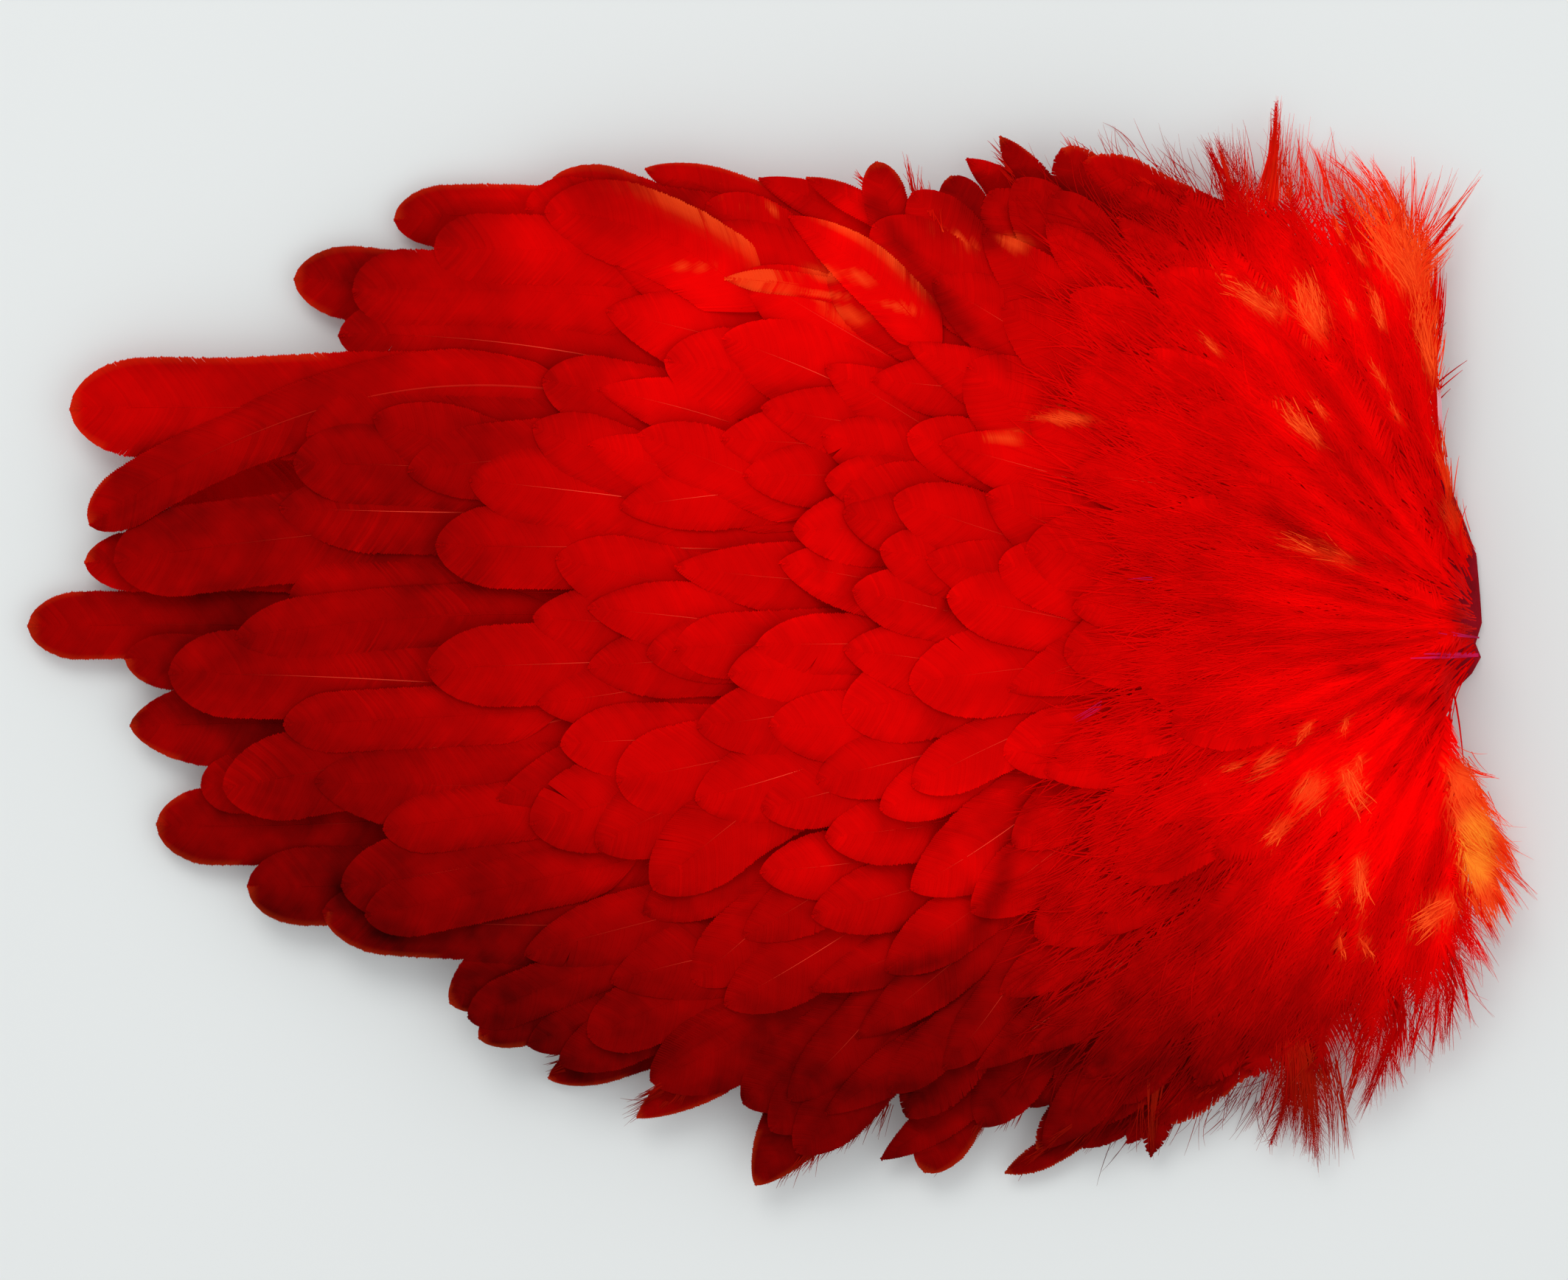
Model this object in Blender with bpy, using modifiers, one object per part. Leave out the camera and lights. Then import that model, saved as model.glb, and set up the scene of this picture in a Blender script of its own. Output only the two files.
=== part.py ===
"""Hen saddle hackle: a dyed patch of hen skin with its feathers, lying feather side up.

The skin lies flat on its back at z = 0. Its front end points to +X, and the feathers
lie back from it towards -X and fan out to both flanks (+Y and -Y). The origin is on the
underside of the skin, below the middle of the patch.
"""

import math

import bmesh
import bpy
import numpy as np

OBJECT_NAME = "hen_saddle_hackle"
MM = 0.001

# Driving dimensions, in millimetres
SKIN_THICKNESS = 0.9
VANE_THICKNESS = 0.4
CLEARANCE = 0.3
QUILL_WIDTH = 1.4
TIP_HEIGHT = 1.1

# Shape of every feather, as shares of its length or width: the narrow quill widens into
# a broad downy base, which narrows to the vane; the vane is ridged along its shaft
QUILL_END = 0.24
BASE_BROADENING = 0.22
BASE_START = 0.3
BASE_END = 0.7
RIDGE_SHARE = 0.1
RIDGE_FULL = 0.3
RIDGE_ROUNDNESS = 1.5
BOW_SHARE = 0.038
BOW_SKEW = 0.9
TIP_FALL_START = 0.5

# Start of the taper, its power, its bluntness and the share of the width left at the tip
ROUND_TIP = (0.62, 2.3, 0.5, 0.24)
SHARP_TIP = (0.28, 1.5, 0.85, 0.06)

# Grid of points on every feather, along it from the root and across it
ROWS_ALONG = (0.0, 0.1, 0.3, 0.52, 0.72, 0.86, 0.95, 1.0)
ROWS_ACROSS = (-1.0, -0.48, 0.0, 0.48, 1.0)
SHAFT_STEPS = 48

# The feathers lie back from this point at the front end, those rooted nearest it on top
HEAD_POINT = (46.0, 0.0)

# Changes of length, as a share, and of turn, in degrees, that let a quill find bare skin
LENGTH_CHANGES = (0.0, -0.04, 0.04, -0.08, 0.08, -0.12, 0.12, -0.16)
TURN_CHANGES = (0.0, -5.0, 5.0, -10.0, 10.0)
LENGTH_COST = 8.0
TURN_COST = 0.1

# Steepest fall of a laid feather, across the vane, along the shaft and down its quill
SLOPE_ACROSS = 0.22
SLOPE_ALONG = 0.2
SLOPE_QUILL = 1.3
QUILL_ROWS = 2

# A slanted vane is up to this much higher than its thickness
STACK_SHARE = 1.2

# Grid of heights on which each feather is laid, in millimetres
CELL = 0.5
FIELD_X = (-122.0, 58.0)
FIELD_Y = (-68.0, 66.0)
FOOTPRINT_MARGIN = 0.5
PLATE_MARGIN_CELLS = 2
SETTLING_STEP = 0.2
SETTLING_SWEEPS = 90
SETTLED = 0.01

# Outline of the skin, counter-clockwise from the ragged bare front end
SKIN_OUTLINE = (
    (41.3, -9.6), (43.0, -6.8), (44.6, -5.2), (45.6, -3.4), (45.0, -1.9), (45.7, 0.4),
    (45.5, 3.4), (45.1, 7.8), (43.8, 11.5), (42.0, 16.0), (40.6, 22.0), (37.5, 27.5),
    (30.0, 32.0), (20.0, 34.5), (8.0, 35.5), (-6.0, 35.5), (-20.0, 34.5), (-32.0, 31.0),
    (-42.0, 26.5), (-48.5, 18.0), (-50.5, 6.0), (-50.0, -6.0), (-47.0, -15.0),
    (-40.0, -22.5), (-31.0, -29.0), (-18.0, -33.0), (-4.0, -34.5), (12.0, -35.0),
    (24.0, -34.0), (33.0, -29.5), (38.5, -21.0), (40.8, -14.5),
)

# Each feather: tip x, tip y, heading of the tip in degrees, length, greatest width near
# the tip, turn in degrees from root to tip, and how pointed the tip is (0 round, 1 sharp).
SADDLE_FEATHERS = (
    (-108.6, 7.0, 181, 64, 7.4, 2, 0.2),
    (-110.0, 25.2, 183, 68, 11.0, 16, 0.0),
    (-115.0, -0.6, 181, 70, 7.6, 2, 0.1),
    (-105.0, 7.4, 190, 62, 10.4, 13, 0.0),
    (-108.3, 12.0, 218, 66, 8.4, 55, 0.1),
    (-104.7, -3.8, 176, 60, 6.8, -6, 0.2),
    (-103.6, -11.4, 181, 58, 9.2, 0, 0.1),
    (-100.6, -21.9, 177, 58, 9.2, -18, 0.0),
    (-82.0, -32.2, 172, 56, 9.4, -24, 0.2),
    (-90.4, -28.7, 178, 60, 9.6, -20, 0.0),
)

LOWER_FLANK_FEATHERS = (
    (-57.5, -49.9, 200, 50, 7.0, 2, 0.6),
    (-64.9, -45.2, 208, 48, 7.6, 12, 0.3),
    (-68.0, -41.4, 212, 47, 9.2, 18, 0.1),
    (-47.7, -54.1, 213, 50, 8.4, 6, 0.9),
    (9.4, -55.6, 211, 36.5, 7.2, -42, 0.5),
    (-6.9, -60.3, 203, 42, 5.0, -50, 1.0),
    (-4.6, -57.7, 240, 42, 6.0, -5, 0.7),
    (-15.2, -60.1, 244, 46, 8.6, 5, 0.3),
    (-35.0, -61.6, 237, 52, 11.4, 14, 0.7),
)

UPPER_FLANK_FEATHERS = (
    (1.6, 52.8, 160, 36, 7.0, 38, 0.4),
    (-1.0, 52.4, 122, 46, 7.4, 0, 0.1),
    (-7.7, 53.9, 125, 46, 6.6, 2, 0.9),
    (-13.2, 49.2, 112, 42, 6.4, -10, 0.0),
    (-21.2, 51.4, 101, 42, 6.0, -38, 0.1),
    (-29.0, 49.7, 154, 46, 6.4, 14, 0.9),
    (-46.7, 51.7, 163, 54, 7.6, 12, 0.3),
    (-74.2, 45.3, 187, 60, 8.2, 40, 0.1),
    (-57.5, 48.6, 160, 54, 10.2, 3, 0.1),
    (-85.4, 39.2, 177, 60, 9.4, 19, 0.1),
    (-80.3, 31.8, 182, 56, 9.0, 20, 0.2),
)

LOWER_DOWN_TUFTS = (
    (22.2, -57.2, 250, 28.6, 7.0, -20, 0.6),
    (27.2, -58.7, 277, 34, 6.6, 2, 0.8),
    (32.6, -52.6, 258, 28.7, 8.0, -16, 0.6),
    (41.2, -45.6, 276, 27, 8.0, -8, 0.5),
    (46.6, -29.0, 302, 24, 7.0, 33, 0.6),
    (44.4, -39.8, 282, 26.3, 7.6, -4, 0.5),
    (45.8, -36.6, 292, 27.5, 7.6, 15, 0.6),
    (45.0, -18.6, 296, 14.2, 6.4, 38, 0.4),
)

UPPER_DOWN_TUFTS = (
    (22.8, 57.8, 85, 40, 5.4, -7, 1.0),
    (16.3, 53.4, 122, 38, 6.2, 10, 0.9),
    (28.6, 50.4, 128, 30, 7.0, 34, 0.7),
    (34.2, 48.8, 116, 34, 7.0, 40, 0.7),
    (42.3, 45.0, 58, 27, 6.4, -38, 0.8),
    (39.6, 40.6, 91, 33, 6.0, -14, 0.4),
)

COVER_FEATHERS = (
    (-99.0, -5.2, 180, 56, 10.2, 2, 0.0),
    (-93.1, -17.7, 190, 54, 10.4, -4, 0.1),
    (-85.2, 17.8, 180, 54, 9.6, 10, 0.1),
    (-80.0, -28.4, 186, 54, 10.2, -15, 0.1),
    (-69.6, 8.8, 180, 52, 10.0, 2, 0.1),
    (-70.6, -4.6, 182, 52, 10.0, 0, 0.2),
    (-59.2, -21.8, 196, 52, 11.0, 4, 0.1),
    (-44.5, 29.0, 172, 50, 11.0, 12, 0.2),
    (-45.6, -28.8, 222, 42, 10.6, 12, 0.2),
    (-24.8, 14.0, 174, 42, 10.6, 8, 0.1),
    (-25.0, -9.6, 194, 42, 10.6, 8, 0.1),
    (0.2, 28.4, 147, 36, 11.0, 2, 0.1),
    (2.4, -25.4, 216, 36, 11.0, 8, 0.2),
    (-0.6, -3.4, 192, 42, 10.4, 23, 0.1),
    (-5.0, 8.0, 180, 43, 10.6, 14, 0.1),
)


def smooth_step(value):
    """Rise from 0 to 1 with no corner at either end."""
    value = min(max(value, 0.0), 1.0)
    return value * value * (3.0 - 2.0 * value)


def half_width(along, width, pointed):
    """Half the breadth at a share of the length: quill, broad downy base, vane, tip."""
    quill_share = QUILL_WIDTH / width
    past_base = smooth_step((along - BASE_START) / (BASE_END - BASE_START))
    vane = quill_share + (1.0 - quill_share) * smooth_step(along / QUILL_END)
    vane *= 1.0 + BASE_BROADENING * (1.0 - past_base)
    start, power, bluntness, end_share = (
        blunt + pointed * (sharp - blunt) for blunt, sharp in zip(ROUND_TIP, SHARP_TIP))
    past = max(along - start, 0.0) / (1.0 - start)
    taper = max(1.0 - past ** power, 0.0) ** bluntness
    return 0.5 * width * vane * max(taper, end_share)


def centre_line(tip_x, tip_y, heading, length, turn):
    """Points and directions of the shaft, followed back from its tip at an even turn."""
    stride = length / SHAFT_STEPS
    points = [(tip_x, tip_y)]
    headings = [math.radians(heading)]
    for step in range(1, SHAFT_STEPS + 1):
        middle = math.radians(heading - turn * (step - 0.5) / SHAFT_STEPS)
        last_x, last_y = points[-1]
        points.append((last_x - stride * math.cos(middle), last_y - stride * math.sin(middle)))
        headings.append(math.radians(heading - turn * step / SHAFT_STEPS))
    return points[::-1], headings[::-1]


def feather_plan(feather):
    """The plan of one feather: x and y of every grid point, row by row from the root."""
    tip_x, tip_y, heading, length, width, turn, pointed = feather
    points, headings = centre_line(tip_x, tip_y, heading, length, turn)
    plan = []
    for along in ROWS_ALONG:
        index = along * (len(points) - 1)
        low = min(int(index), len(points) - 2)
        share = index - low
        x = points[low][0] + share * (points[low + 1][0] - points[low][0])
        y = points[low][1] + share * (points[low + 1][1] - points[low][1])
        direction = headings[low] + share * (headings[low + 1] - headings[low])
        half = half_width(along, width, pointed)
        for across in ROWS_ACROSS:
            plan.append((x - across * half * math.sin(direction),
                         y + across * half * math.cos(direction)))
    return np.array(plan)


def plan_triangles():
    """Both ways of splitting each quad of the plan, so that either fold is kept clear."""
    columns = len(ROWS_ACROSS)
    triangles = []
    for row in range(len(ROWS_ALONG) - 1):
        for column in range(columns - 1):
            a = row * columns + column
            b = a + 1
            c = a + columns + 1
            d = a + columns
            triangles += [(a, b, c), (a, c, d), (a, b, d), (b, c, d)]
    return triangles


def plan_links():
    """Pairs of neighbouring grid points, across and along, with their steepest fall."""
    columns = len(ROWS_ACROSS)
    links = []
    for row in range(len(ROWS_ALONG)):
        for column in range(columns):
            here = row * columns + column
            if column + 1 < columns:
                links.append((here, here + 1, SLOPE_ACROSS))
            if row + 1 < len(ROWS_ALONG):
                slope = SLOPE_QUILL if row < QUILL_ROWS else SLOPE_ALONG
                links.append((here, here + columns, slope))
    return links


def corner_weights(corners, x, y):
    """Share of each corner of a triangle at the points x, y."""
    (x1, y1), (x2, y2), (x3, y3) = corners
    area = (x2 - x1) * (y3 - y1) - (x3 - x1) * (y2 - y1)
    first = ((x2 - x) * (y3 - y) - (x3 - x) * (y2 - y)) / area
    second = ((x3 - x) * (y1 - y) - (x1 - x) * (y3 - y)) / area
    return np.stack((first, second, 1.0 - first - second), axis=1)


def corner_heights(corners):
    """Distance of each corner of a triangle from the side across from it."""
    (x1, y1), (x2, y2), (x3, y3) = corners
    area = abs((x2 - x1) * (y3 - y1) - (x3 - x1) * (y2 - y1))
    sides = (math.hypot(x3 - x2, y3 - y2), math.hypot(x1 - x3, y1 - y3),
             math.hypot(x2 - x1, y2 - y1))
    return area / np.array(sides)


class HeightField:
    """The highest solid surface laid so far, in millimetres above the floor."""

    def __init__(self):
        self.columns = int((FIELD_X[1] - FIELD_X[0]) / CELL)
        self.rows = int((FIELD_Y[1] - FIELD_Y[0]) / CELL)
        self.height = np.zeros((self.rows, self.columns))

    def cell_centres(self, rows, columns):
        return FIELD_X[0] + (columns + 0.5) * CELL, FIELD_Y[0] + (rows + 0.5) * CELL

    def under(self, corners):
        """Rows, columns and corner weights of the cells below one triangle."""
        low = corners.min(axis=0) - FOOTPRINT_MARGIN
        high = corners.max(axis=0) + FOOTPRINT_MARGIN
        first_column = max(int((low[0] - FIELD_X[0]) / CELL), 0)
        last_column = min(int((high[0] - FIELD_X[0]) / CELL) + 1, self.columns)
        first_row = max(int((low[1] - FIELD_Y[0]) / CELL), 0)
        last_row = min(int((high[1] - FIELD_Y[0]) / CELL) + 1, self.rows)
        rows, columns = np.mgrid[first_row:last_row, first_column:last_column]
        rows = rows.ravel()
        columns = columns.ravel()
        x, y = self.cell_centres(rows, columns)
        weights = corner_weights(corners, x, y)
        near = (weights * corner_heights(corners)).min(axis=1) >= -FOOTPRINT_MARGIN
        weights = np.clip(weights[near], 0.0, None)
        weights /= weights.sum(axis=1, keepdims=True)
        return rows[near], columns[near], weights

    def add(self, plan, top, triangles):
        """Raise the field to the top surface of a feather that has been laid."""
        for triangle in triangles:
            corners = list(triangle)
            rows, columns, weights = self.under(plan[corners])
            np.maximum.at(self.height, (rows, columns), weights @ top[corners])

    def add_plate(self, outline, top):
        """Raise the field to a flat top inside an outline, and a little beyond it."""
        rows, columns = np.mgrid[0:self.rows, 0:self.columns]
        x, y = self.cell_centres(rows, columns)
        inside = np.zeros(x.shape, dtype=bool)
        for (x1, y1), (x2, y2) in zip(outline, outline[1:] + outline[:1]):
            if y1 != y2:
                crosses = (y1 > y) != (y2 > y)
                inside ^= crosses & (x < x1 + (y - y1) * (x2 - x1) / (y2 - y1))
        for _ in range(PLATE_MARGIN_CELLS):
            grown = inside.copy()
            grown[1:] |= inside[:-1]
            grown[:-1] |= inside[1:]
            grown[:, 1:] |= inside[:, :-1]
            grown[:, :-1] |= inside[:, 1:]
            inside = grown
        self.height[inside] = np.maximum(self.height[inside], top)


def ridge(across, along, width):
    """Rise of the vane from its edges to its shaft."""
    profile = 1.0 - abs(across) ** RIDGE_ROUNDNESS
    return RIDGE_SHARE * width * smooth_step(along / RIDGE_FULL) * profile


def free_height(feather):
    """Underside of a feather that touches nothing: a long low bow, with its ridge."""
    length, width = feather[3:5]
    root_height = SKIN_THICKNESS + CLEARANCE
    heights = []
    for along in ROWS_ALONG:
        bow = BOW_SHARE * length * math.sin(math.pi * along ** BOW_SKEW)
        past_middle = smooth_step((along - TIP_FALL_START) / (1.0 - TIP_FALL_START))
        fall = past_middle * (TIP_HEIGHT - root_height)
        for across in ROWS_ACROSS:
            heights.append(root_height + bow + fall + ridge(across, along, width))
    return np.array(heights)


def stiffen(height, links, spans):
    """Lift each point so that no link falls more steeply than a real vane bends."""
    for _ in range(len(ROWS_ALONG)):
        for (first, second, slope), span in zip(links, spans):
            height[first] = max(height[first], height[second] - slope * span)
            height[second] = max(height[second], height[first] - slope * span)
    return height


def quill_support(field, feather):
    """Height of the highest surface below the quill, where it should meet the skin."""
    plan = feather_plan(feather)
    columns = len(ROWS_ACROSS)
    rows, cells, _ = field.under(plan[[0, columns - 1, columns + columns // 2]])
    return field.height[rows, cells].max()


def root_in_skin(field, feather):
    """The same feather, a little longer or more bent, so that its quill meets bare skin."""
    tip_x, tip_y, heading, length, width, turn, pointed = feather
    choices = []
    for growth in LENGTH_CHANGES:
        for bend in TURN_CHANGES:
            choice = (tip_x, tip_y, heading, length * (1.0 + growth), width,
                      turn * (1.0 + growth) + bend, pointed)
            cost = LENGTH_COST * abs(growth) + TURN_COST * abs(bend)
            choices.append((quill_support(field, choice) + cost, choice))
    return min(choices)[1]


def lay_feather(field, feather, triangles, links):
    """Underside points of a feather that drapes over what lies below it."""
    plan = feather_plan(feather)
    spans = [math.dist(plan[first], plan[second]) for first, second, _ in links]
    rise = np.array([ridge(across, along, feather[4])
                     for along in ROWS_ALONG for across in ROWS_ACROSS])
    corners = []
    weights = []
    floor = []
    for triangle in triangles:
        rows, columns, share = field.under(plan[list(triangle)])
        corners.append(np.repeat(np.array([triangle]), len(rows), axis=0))
        weights.append(share)
        floor.append(field.height[rows, columns] + CLEARANCE)
    corners = np.concatenate(corners)
    weights = np.concatenate(weights)
    floor = np.concatenate(floor)
    power = (weights ** 2).sum(axis=1, keepdims=True)

    drape = np.full(len(plan), floor.min())
    for _ in range(SETTLING_SWEEPS):
        short = floor - (weights * drape[corners]).sum(axis=1)
        short = np.clip(short, 0.0, None)[:, None]
        raised = np.zeros(len(plan))
        np.maximum.at(raised, corners, short * weights / power)
        drape = stiffen(drape + np.minimum(raised, SETTLING_STEP), links, spans)
        if raised.max() < SETTLED:
            break
    drape += max((floor - (weights * drape[corners]).sum(axis=1)).max(), 0.0)
    rows = drape.reshape(len(ROWS_ALONG), len(ROWS_ACROSS))
    across = 0.5 + 0.5 * np.array(ROWS_ACROSS)
    between_edges = rows[:, :1] + (rows[:, -1:] - rows[:, :1]) * across
    arch = between_edges.ravel() + rise
    underside = np.maximum(np.maximum(drape, arch), free_height(feather))
    field.add(plan, underside + STACK_SHARE * VANE_THICKNESS, triangles)
    return np.column_stack((plan, underside))


def new_collection(name):
    collection = bpy.data.collections.new(name)
    bpy.context.scene.collection.children.link(collection)
    return collection


def plain_material(name, colour, roughness):
    """A non-metallic material with one base colour and roughness."""
    material = bpy.data.materials.new(name)
    material.use_nodes = True
    shader = material.node_tree.nodes["Principled BSDF"]
    shader.inputs["Base Color"].default_value = (*colour, 1.0)
    shader.inputs["Roughness"].default_value = roughness
    shader.inputs["Metallic"].default_value = 0.0
    return material


def make_skin(collection):
    """The dried hide: a flat plate cut to the outline of the patch."""
    curve = bpy.data.curves.new("skin", "CURVE")
    curve.dimensions = "2D"
    curve.fill_mode = "BOTH"
    curve.extrude = 0.5 * SKIN_THICKNESS * MM
    spline = curve.splines.new("POLY")
    spline.points.add(len(SKIN_OUTLINE) - 1)
    for point, (x, y) in zip(spline.points, SKIN_OUTLINE):
        point.co = (x * MM, y * MM, 0.0, 1.0)
    spline.use_cyclic_u = True
    curve.materials.append(plain_material("skin_hide", (0.16, 0.005, 0.02), 0.55))
    skin = bpy.data.objects.new("skin", curve)
    skin.location = (0.0, 0.0, 0.5 * SKIN_THICKNESS * MM)
    collection.objects.link(skin)


def make_feather(name, points, material, collection):
    """One vane: an open arched grid thickened upwards into a closed solid."""
    bm = bmesh.new()
    bmesh.ops.create_grid(bm, x_segments=len(ROWS_ACROSS) - 1,
                          y_segments=len(ROWS_ALONG) - 1, size=1.0)
    ordered = sorted(bm.verts, key=lambda vert: (round(vert.co.y, 5), round(vert.co.x, 5)))
    for vert, point in zip(ordered, points):
        vert.co = point * MM
    bmesh.ops.recalc_face_normals(bm, faces=bm.faces)
    if sum(face.normal.z for face in bm.faces) < 0.0:
        bmesh.ops.reverse_faces(bm, faces=bm.faces)
    mesh = bpy.data.meshes.new(name)
    bm.to_mesh(mesh)
    bm.free()
    mesh.shade_smooth()
    mesh.materials.append(material)
    feather = bpy.data.objects.new(name, mesh)
    collection.objects.link(feather)
    solid = feather.modifiers.new("thickness", "SOLIDIFY")
    solid.thickness = VANE_THICKNESS * MM
    solid.offset = 1.0


def make_feathers(collection):
    """Lay all the feathers, those rooted farthest from the front end first."""
    red = plain_material("vane_red", (0.42, 0.004, 0.008), 0.5)
    dark_red = plain_material("vane_dark_red", (0.24, 0.002, 0.006), 0.5)
    orange_red = plain_material("down_orange_red", (0.62, 0.03, 0.008), 0.7)
    groups = (
        ("lower_down_tuft", LOWER_DOWN_TUFTS, orange_red),
        ("upper_down_tuft", UPPER_DOWN_TUFTS, orange_red),
        ("upper_flank_feather", UPPER_FLANK_FEATHERS, dark_red),
        ("lower_flank_feather", LOWER_FLANK_FEATHERS, dark_red),
        ("saddle_feather", SADDLE_FEATHERS, dark_red),
        ("cover_feather", COVER_FEATHERS, red),
    )
    waiting = []
    for group, feathers, material in groups:
        for number, feather in enumerate(feathers, start=1):
            root = feather_plan(feather)[len(ROWS_ACROSS) // 2]
            name = f"{group}_{number:02d}"
            waiting.append((math.dist(root, HEAD_POINT), name, feather, material))
    waiting.sort(key=lambda entry: entry[0], reverse=True)

    field = HeightField()
    field.add_plate(SKIN_OUTLINE, SKIN_THICKNESS)
    triangles = plan_triangles()
    links = plan_links()
    for _, name, feather, material in waiting:
        feather = root_in_skin(field, feather)
        points = lay_feather(field, feather, triangles, links)
        make_feather(name, points, material, collection)


def main():
    for old in list(bpy.data.objects):
        bpy.data.objects.remove(old, do_unlink=True)
    collection = new_collection(OBJECT_NAME)
    make_skin(collection)
    make_feathers(collection)


main()
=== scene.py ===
"""Looks of the hen saddle hackle: barbed feathers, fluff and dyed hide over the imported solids.

Layout values are in millimetres in the row frame: +X towards the bare front end of the skin,
+Z up out of the feather side. Meshes are made in metres.
"""

import math
from types import SimpleNamespace

import bpy
import numpy as np
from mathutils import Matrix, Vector
from mathutils.bvhtree import BVHTree


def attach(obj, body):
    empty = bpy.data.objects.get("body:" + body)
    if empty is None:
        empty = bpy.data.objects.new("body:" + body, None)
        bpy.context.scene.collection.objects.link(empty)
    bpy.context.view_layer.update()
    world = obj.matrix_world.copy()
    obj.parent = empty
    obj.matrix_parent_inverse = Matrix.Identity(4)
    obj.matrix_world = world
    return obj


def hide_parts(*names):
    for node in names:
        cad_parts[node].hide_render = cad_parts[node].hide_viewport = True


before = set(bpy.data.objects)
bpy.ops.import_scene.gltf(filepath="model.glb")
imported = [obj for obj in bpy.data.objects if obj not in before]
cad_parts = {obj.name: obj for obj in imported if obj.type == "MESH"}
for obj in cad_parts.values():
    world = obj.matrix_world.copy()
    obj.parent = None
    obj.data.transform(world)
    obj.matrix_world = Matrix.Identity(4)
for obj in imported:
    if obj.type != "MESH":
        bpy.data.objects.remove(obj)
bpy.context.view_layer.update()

MM = 0.001

# Every feather lies back from this point at the front end of the skin
HEAD_POINT = np.array((46, 0))

# Framing of the photograph: its centre on the patch, its width there, and the camera's height
VIEW_CENTRE = (-31.5, -1.5)
VIEW_WIDTH = 173.6
CAMERA_HEIGHT = 900
SENSOR_WIDTH = 36

# Stations along a feather from root to tip, slices across a solid, control and fine points of a
# laid surface, and the points across by which it raises the field
STATIONS = 161
SLICES = 41
CONTROL_ALONG = 25
CONTROL_ACROSS = 7
FINE_ALONG = 97
FINE_ACROSS = 25
RAISED_ACROSS = 33

# Grid of heights on which the feathers are laid: its cell and corners, the gap between layers,
# and the passes in which a feather settles
CELL = 0.5
FIELD_LOW = (-124, -70)
FIELD_HIGH = (60, 68)
LAYER_GAP = 0.11
SETTLING_SWEEPS = 14

# Hollows between feathers: how far round they are judged and over how many cells, the depth that
# is darkest and its shade, and the same two for the seams under edges
HOLLOW_REACH = 1.1
BLUR_CELLS = 5
HOLLOW_DEPTH = 1
HOLLOW_SHADE = 0.12
SEAM_DEPTH = 0.3
SEAM_SHADE = 0.15

# Rim of a vane: its painted shade, the painted light by which its thin edge is paler, and how far it
# sinks
RIM_SHADE = 0.2
PAINTED_RIM_LIGHT = 0.12
EDGE_SINK = 0.2

# Locks into which loose barbs gather: breadth at the root, and how unevenly far they reach
LOCK_BREADTH = 1.4
LOCK_REACH = 3.5

# How far past its outline a feather looks for bare floor, where its thin edge gets a painted orange glow
EDGE_LOOK = 2.2

# Share of its own colour that every barb gives off as a painted glow, for light passed on through thin
# barbs
LIGHT_THROUGH = 0.1

# Barbs: distance and overlap, how far their ends lead their roots, sweep towards the tip, roll,
# unevenness of their roots and of their height, the last one's root, the places by which an
# outline is followed, and the share of the vane that they reach
BARB_SPACING = 0.3
BARB_OVERLAP = 1.35
BARB_LEAD = 1.05
BARB_SWEEP = 1.3
BARB_ROLL = 0.04
ROOT_JITTER = 0.1
HEIGHT_JITTER = 0.006
LAST_BARB = 0.992
OUTLINE_PLACES = 241
VANE_REACH = 0.96

# Loose barbs: how far their ends sway, and how far they stand up
LOOSE_SWAY = 0.8
LOOSE_RISE = 0.1

# Splits in a vane: first and last place, least and greatest opening, and how far it is felt
SPLIT_PLACES = (0.3, 0.9)
SPLIT_SIZES = (0.15, 0.45)
SPLIT_REACH = 2.2

# Shafts: breadth, rise and end, the overlap of the barbs, and the round of the section as
# shares of half the breadth and of the rise
SHAFT_WIDTH = 0.26
SHAFT_RISE = 0.08
SHAFT_END = 0.9
SHAFT_PLACES = 30
SHAFT_OVERLAP = 0.14
SHAFT_SECTION = ((-1, -0.02), (-0.55, 0.8), (0, 1), (0.55, 0.8), (1, -0.02))

rng = np.random.default_rng(41)


def smooth_step(value):
    value = np.clip(value, 0, 1)
    return value * value * (3 - 2 * value)


def ramp(value, start, run):
    """Share that is 0 up to a start and 1 from a run further on, smooth between them."""
    return smooth_step((value - start) / run)


def catmull_rom(count, fine):
    """Matrix that reads a smooth curve through count values at fine even places."""
    matrix = np.zeros((fine, count))
    for row, place in enumerate(np.linspace(0, count - 1, fine)):
        low = min(int(place), count - 2)
        t = place - low
        weights = (
            -0.5 * t + t ** 2 - 0.5 * t ** 3,
            1 - 2.5 * t ** 2 + 1.5 * t ** 3,
            0.5 * t + 2 * t ** 2 - 1.5 * t ** 3,
            -0.5 * t ** 2 + 0.5 * t ** 3,
        )
        for offset, weight in enumerate(weights, start=-1):
            matrix[row, min(max(low + offset, 0), count - 1)] += weight
    return matrix


ALONG_FINE = catmull_rom(CONTROL_ALONG, FINE_ALONG)
ACROSS_FINE = catmull_rom(CONTROL_ACROSS, FINE_ACROSS)
STATION_PLACES = np.linspace(0, 1, STATIONS)
CONTROL_S = np.linspace(0, 1, CONTROL_ALONG)
CONTROL_T = np.linspace(-1, 1, CONTROL_ACROSS)


# Default looks of a feather: rest, the least heights of its surface; lift over what lies below,
# arch across, looseness of the barbs, raggedness of the edge, splits, tone, painted orange glow of
# the thin edge over bare floor, orange margin, strength of the shaft and of its colour, points
# along a barb, where the vane starts, rank in the laying order and distance between barbs
LOOKS = dict(rest=None, lift=1, arch=0.08, loose=0, fringe=0.008, split=0.05, tone=1,
             glow=0, margin=0, margin_side=0, margin_start=0.3, margin_end=1.3, shaft=1,
             shaft_show=0.5, barb_places=6, vane_start=0.1, rank=0, spacing=BARB_SPACING)


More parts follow.
